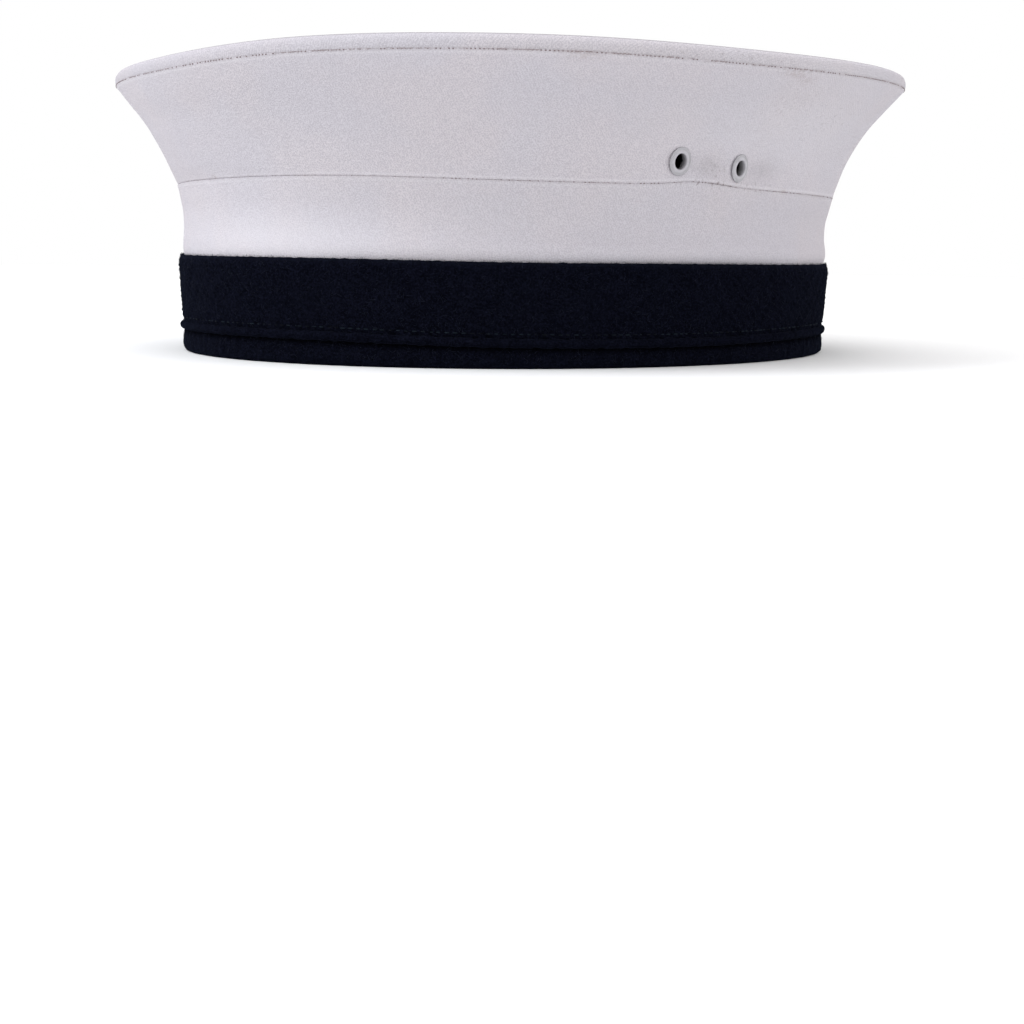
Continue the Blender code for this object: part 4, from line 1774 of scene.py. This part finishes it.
def strands(
    name: str, spine: Array, sideways: Array, outwards: Array, thickness: float, sides: int
) -> bpy.types.Object:
    """One mesh of thin tubes through five points each, whose ends are tips.

    Args:
        name: The object's name.
        spine: Points of shape (strands, 5, 3).
        sideways: A direction across each strand.
        outwards: Another direction across it.
        thickness: The strands' thickness.
        sides: How many sides they have.

    Returns:
        The object.
    """
    turn = turns(sides)
    spokes = (
        np.cos(turn)[None, :, None] * outwards[:, None, :]
        + np.sin(turn)[None, :, None] * sideways[:, None, :]
    )
    rings = spine[:, 1:4, None, :] + 0.5 * thickness * spokes[:, None, :, :]
    points = np.concatenate([rings.reshape(len(spine), -1, 3), spine[:, :1], spine[:, 4:]], axis=1)
    return beads_to_object(name, points, 3, sides)


@dataclass
class EyeletRing:
    """A vent eyelet: a domed flange outside, a barrel through the panel, a flange inside."""

    panel: FlaredSide
    flange: float = 3.75 * MM
    bore: float = 2.1 * MM
    metal: float = 0.5 * MM
    dome: float = 0.34 * MM
    seat: float = 0.04 * MM
    hole_gap: float = 0.15 * MM
    # Painted shade on the ring: none on the lip round the bore, rising over a short fade to a share on
    # the flange beyond it, and a larger share down the bore.
    unshaded_lip: float = 0.75 * MM
    shade_fade: float = 0.25 * MM
    flange_shade: float = 0.30
    bore_shade: float = 0.60
    columns: int = 72

    def profile(self, back: float) -> Array:
        """The turned outline, as radius and height over the cloth: up the flange's rim,
        over its dome, down the bore and round the inner flange.

        Args:
            back: The height of the cloth's inner face, below zero.

        Returns:
            Points of shape (rows, 2).
        """
        barrel = self.bore + self.metal
        outline = (
            (self.flange, self.seat),
            (self.flange + 0.02 * MM, self.seat + 0.04 * MM),
            (self.flange - 0.10 * MM, self.seat + 0.10 * MM),
            (self.flange - 0.35 * MM, self.seat + 0.14 * MM),
            (barrel + 0.52 * MM, self.seat + 0.12 * MM),
            (barrel + 0.36 * MM, self.seat + 0.15 * MM),
            (barrel + 0.22 * MM, self.seat + 0.70 * self.dome),
            (barrel - 0.02 * MM, self.seat + 0.96 * self.dome),
            (self.bore + 0.24 * MM, self.seat + self.dome),
            (self.bore + 0.08 * MM, self.seat + 0.78 * self.dome),
            (self.bore, self.seat + 0.30 * self.dome),
            (self.bore + 0.02 * MM, 0.25 * back),
            (self.bore + 0.18 * MM, 0.60 * back),
            (self.bore + 0.42 * MM, 0.95 * back),
            (self.flange - 0.30 * MM, back - 0.40 * MM),
            (self.flange - 0.05 * MM, back - 0.30 * MM),
            (self.flange - 0.10 * MM, back - 0.12 * MM),
            (barrel, back - 0.10 * MM),
            (barrel, self.seat),
        )
        return np.array(outline)

    def build(self, node: str, around: float, height: float) -> tuple[bpy.types.Object, bpy.types.Object]:
        """Turns the outline about the panel's own direction at an eyelet's place.

        Args:
            node: The solid that the ring stands for.
            around: The eyelet's angle round the cap.
            height: Its height.

        Returns:
            The ring, and a rod that is to cut the panel's hole.
        """
        up = self.panel.up_at(around, height)
        along, _, outwards = self.panel.directions(np.array(around), np.array(up))
        origin = self.panel.face(np.array(around), np.array(up))
        across = np.cross(outwards, along)
        turn = turns(self.columns)
        rise = self.panel.form.stitch_height - self.panel.form.seam_height
        bed_around = around + self.flange * np.cos(turn) / self.panel.form.radius
        bed = (self.panel.face(bed_around, up + self.flange * np.sin(turn) / rise) - origin) @ outwards
        outline = self.profile(float(bed.min()) - self.panel.wall)
        level = outline[:, 1] + max(0.0, float(bed.max())) * (outline[:, 1] > 0.0)
        spokes = np.cos(turn)[:, None] * along + np.sin(turn)[:, None] * across
        points = origin + outline[:, None, :1] * spokes[None] + level[:, None, None] * outwards
        faces = [wrapped_faces(len(outline), self.columns, closed=True)[:, ::-1]]
        # Painted shade, over the flange beyond its lip and darker down the bore.
        beyond_lip = outline[:, 0] - self.bore - self.unshaded_lip
        out_on_flange = np.clip(beyond_lip / self.shade_fade, 0.0, 1.0)
        painted_shade = np.where(outline[:, 1] > 0.0, self.flange_shade * out_on_flange, self.bore_shade)
        marks = {"painted_shade": np.repeat(painted_shade[:, None], self.columns, axis=1)}
        patch = Patch(points.reshape(-1, 3), faces, None, marks)
        ring = patch.to_object(node.replace("eyelet", "eyelet_ring"))
        hole = self.bore + self.metal + self.hole_gap
        reach = 3.0 * self.panel.wall * outwards
        ends = [origin - reach + hole * spokes, origin + reach + hole * spokes]
        tips = np.stack([origin - reach, origin + reach])
        rod = np.concatenate([*ends, tips])[None]
        return ring, beads_to_object(node.replace("eyelet", "hole"), rod, 2, self.columns)


@dataclass(frozen=True)
class Softbox:
    """A rectangle of light that is turned to the cap."""

    name: str
    bearing: float
    elevation: float
    distance: float
    width: float
    height: float
    power: float
    tint: tuple[float, float, float] = (1.0, 1.0, 1.0)

    def hang(self, target: Vector) -> None:
        """Places the light, turned to a target.

        Args:
            target: The point that it is turned to.
        """
        lamp = bpy.data.lights.new(self.name, "AREA")
        lamp.shape = "RECTANGLE"
        lamp.size = self.width
        lamp.size_y = self.height
        lamp.energy = self.power
        lamp.color = self.tint
        holder = bpy.data.objects.new(self.name, lamp)
        bearing = math.radians(self.bearing)
        elevation = math.radians(self.elevation)
        level = self.distance * math.cos(elevation)
        rise = self.distance * math.sin(elevation)
        place = Vector((-level * math.sin(bearing), -level * math.cos(bearing), rise))
        turned = (place - target).to_track_quat("Z", "Y").to_matrix().to_4x4()
        holder.matrix_world = Matrix.Translation(place) @ turned
        bpy.context.scene.collection.objects.link(holder)


@dataclass
class Studio:
    """The pale floor, the light and the camera. The camera's height and distance are from the
    middle of the floor, and its yaw, pitch and roll turn it from a level look at that."""

    paper: StudioPaper
    floor_radius: float = 1.5
    floor_gap: float = 0.02 * MM
    floor_corners: int = 96
    sky: float = 1.0
    light_target: tuple[float, float, float] = (0.0, 0.0, 0.05)
    bearing: float = math.radians(124.0)
    distance: float = 526.1 * MM
    height: float = 32.4 * MM
    yaw: float = 0.0008
    pitch: float = 0.15986
    roll: float = 0.01368
    lens: float = 58.59

    def lay_floor(self) -> None:
        """Lays a round floor just under the cap."""
        turn = turns(self.floor_corners)
        level = np.full_like(turn, -self.floor_gap)
        across, endwise = self.floor_radius * np.cos(turn), self.floor_radius * np.sin(turn)
        edge = np.stack([across, endwise, level], axis=-1)
        floor = Patch(edge, [np.arange(self.floor_corners)[None, :]]).to_object("studio_floor")
        floor.data.materials.append(self.paper.material())

    def light(self) -> None:
        """Fills the room with even light and hangs the softboxes."""
        world = bpy.data.worlds.new("white_room")
        world.use_nodes = True
        backdrop = world.node_tree.nodes["Background"]
        backdrop.inputs["Color"].default_value = (1.0, 1.0, 1.0, 1.0)
        backdrop.inputs["Strength"].default_value = self.sky
        bpy.context.scene.world = world
        target = Vector(self.light_target)
        # The columns are the bearing and elevation in degrees, the distance, the width, the
        # height, the power and the tint.
        boxes = (
            Softbox("key_softbox", 188.0, 48.0, 1.6, 0.7, 0.7, 11.5, (0.95, 1.0, 1.06)),
            Softbox("low_softbox", 42.0, 6.0, 1.6, 0.9, 0.9, 3.0),
            Softbox("top_softbox", 124.0, 90.0, 2.0, 3.0, 3.0, 26.0),
        )
        for box in boxes:
            box.hang(target)

    def set_camera(self) -> None:
        """Sets the camera low beside the wearer's right rear, turned a little down, so that
        the cap fills the upper part of the frame."""
        overhead = Vector((0.0, 0.0, 1.0))
        level = Vector((math.sin(self.bearing), math.cos(self.bearing), 0.0))
        place = self.height * overhead - self.distance * level
        ahead = level * math.cos(self.yaw) + level.cross(overhead) * math.sin(self.yaw)
        sideways = ahead.cross(overhead)
        view = ahead * math.cos(self.pitch) - overhead * math.sin(self.pitch)
        upward = sideways.cross(view)
        right = sideways * math.cos(self.roll) + upward * math.sin(self.roll)
        top = right.cross(view)
        camera = bpy.data.cameras.new("camera")
        camera.lens = self.lens
        camera.sensor_width = 36.0
        camera.clip_start = 0.01
        holder = bpy.data.objects.new("camera", camera)
        turned = Matrix((right, top, -view)).transposed().to_4x4()
        holder.matrix_world = Matrix.Translation(place) @ turned
        bpy.context.scene.collection.objects.link(holder)
        bpy.context.scene.camera = holder

    def build(self) -> None:
        """Makes the whole studio."""
        self.lay_floor()
        self.light()
        self.set_camera()
        bpy.context.scene.view_settings.view_transform = "Standard"


def main() -> None:
    """Builds the studio and the cap, piece by piece."""
    logging.basicConfig(level=logging.INFO, format="%(name)s: %(message)s")
    Studio(StudioPaper("studio_paper")).build()
    form = CapForm.from_frame()
    twill = CottonTwill("side_twill", rib_angle=math.radians(97.0), tone=0.99).material()
    stand_twill = CottonTwill("stand_twill", rib_angle=math.radians(152.0), tone=0.97).material()
    rim_twill = CottonTwill(
        "crown_twill",
        rib_angle=math.radians(18.0),
        rib_pitch=0.74 * MM,
        rib_share=0.38,
        thread_pitch=0.78 * MM,
        tone=0.89,
        relief=0.26 * MM,
    ).material()
    wool = MeltonWool("navy_melton_wool").material()
    fibre, white_thread, soiled_and_shaded_thread, navy_thread = (
        SewingThread(name, colour, shade).material() for name, colour, shade in THREAD_COLOURS
    )
    paint = EyeletPaint("eyelet_paint_grey").material()

    crown = CrownCloth(form)
    panel = FlaredSide(form)
    stand = Stand(form)
    band = Band(form)
    hem = Hem(form)
    top = Dressing(rim_twill, "white_cotton", ("crown_top",)).put_on(crown.build())
    side = Dressing(twill, "white_cotton", ("upper_side",)).put_on(panel.build())
    lower = Dressing(stand_twill, "white_cotton", ("lower_side",)).put_on(stand.build())
    ring = Dressing(wool, "navy_wool", ("band",)).put_on(band.build())
    Dressing(wool, "navy_wool", ("welt",)).put_on(Welt(form).build())
    fold = Dressing(wool, "navy_wool", ("hem",)).put_on(hem.build())
    holes = []
    for node, _, around, height in panel.eyelet_places:
        eyelet, hole = EyeletRing(panel).build(node, around, height)
        Dressing(paint, "eyelet_paint", (node,)).put_on(eyelet)
        holes.append(hole)
    pierce(side, holes)
    rows = Stitching(panel, band).build()
    threads = {
        "rim_stitches": white_thread,
        "seam_stitches": white_thread,
        "rim_knots": soiled_and_shaded_thread,
        "seam_knots": soiled_and_shaded_thread,
    }
    white_rows = [
        Dressing(finish, "white_cotton").put_on(rows[name]) for name, finish in threads.items()
    ]
    band_row = Dressing(navy_thread, "navy_wool").put_on(rows["band_stitches"])
    band_nap = Nap(band)
    lying = Dressing(fibre, "navy_wool").put_on(band_nap.lying("band_fibres", 4800, 0.0, seed=73))
    edging = Dressing(fibre, "navy_wool").put_on(band_nap.fringe("band_edge_fibres", 2600, seed=79))
    hem_fibres = Nap(hem).lying("hem_fibres", 1300, 0.74, seed=83)
    hem_nap = Dressing(fibre, "navy_wool").put_on(hem_fibres)

    width, length = crown.flat_size()
    panel.flat_size()
    stand.flat_size()
    even_band = replace(band, lumps=0.0).flat_size()
    hem.flat_size()


if __name__ == "__main__":
    main()
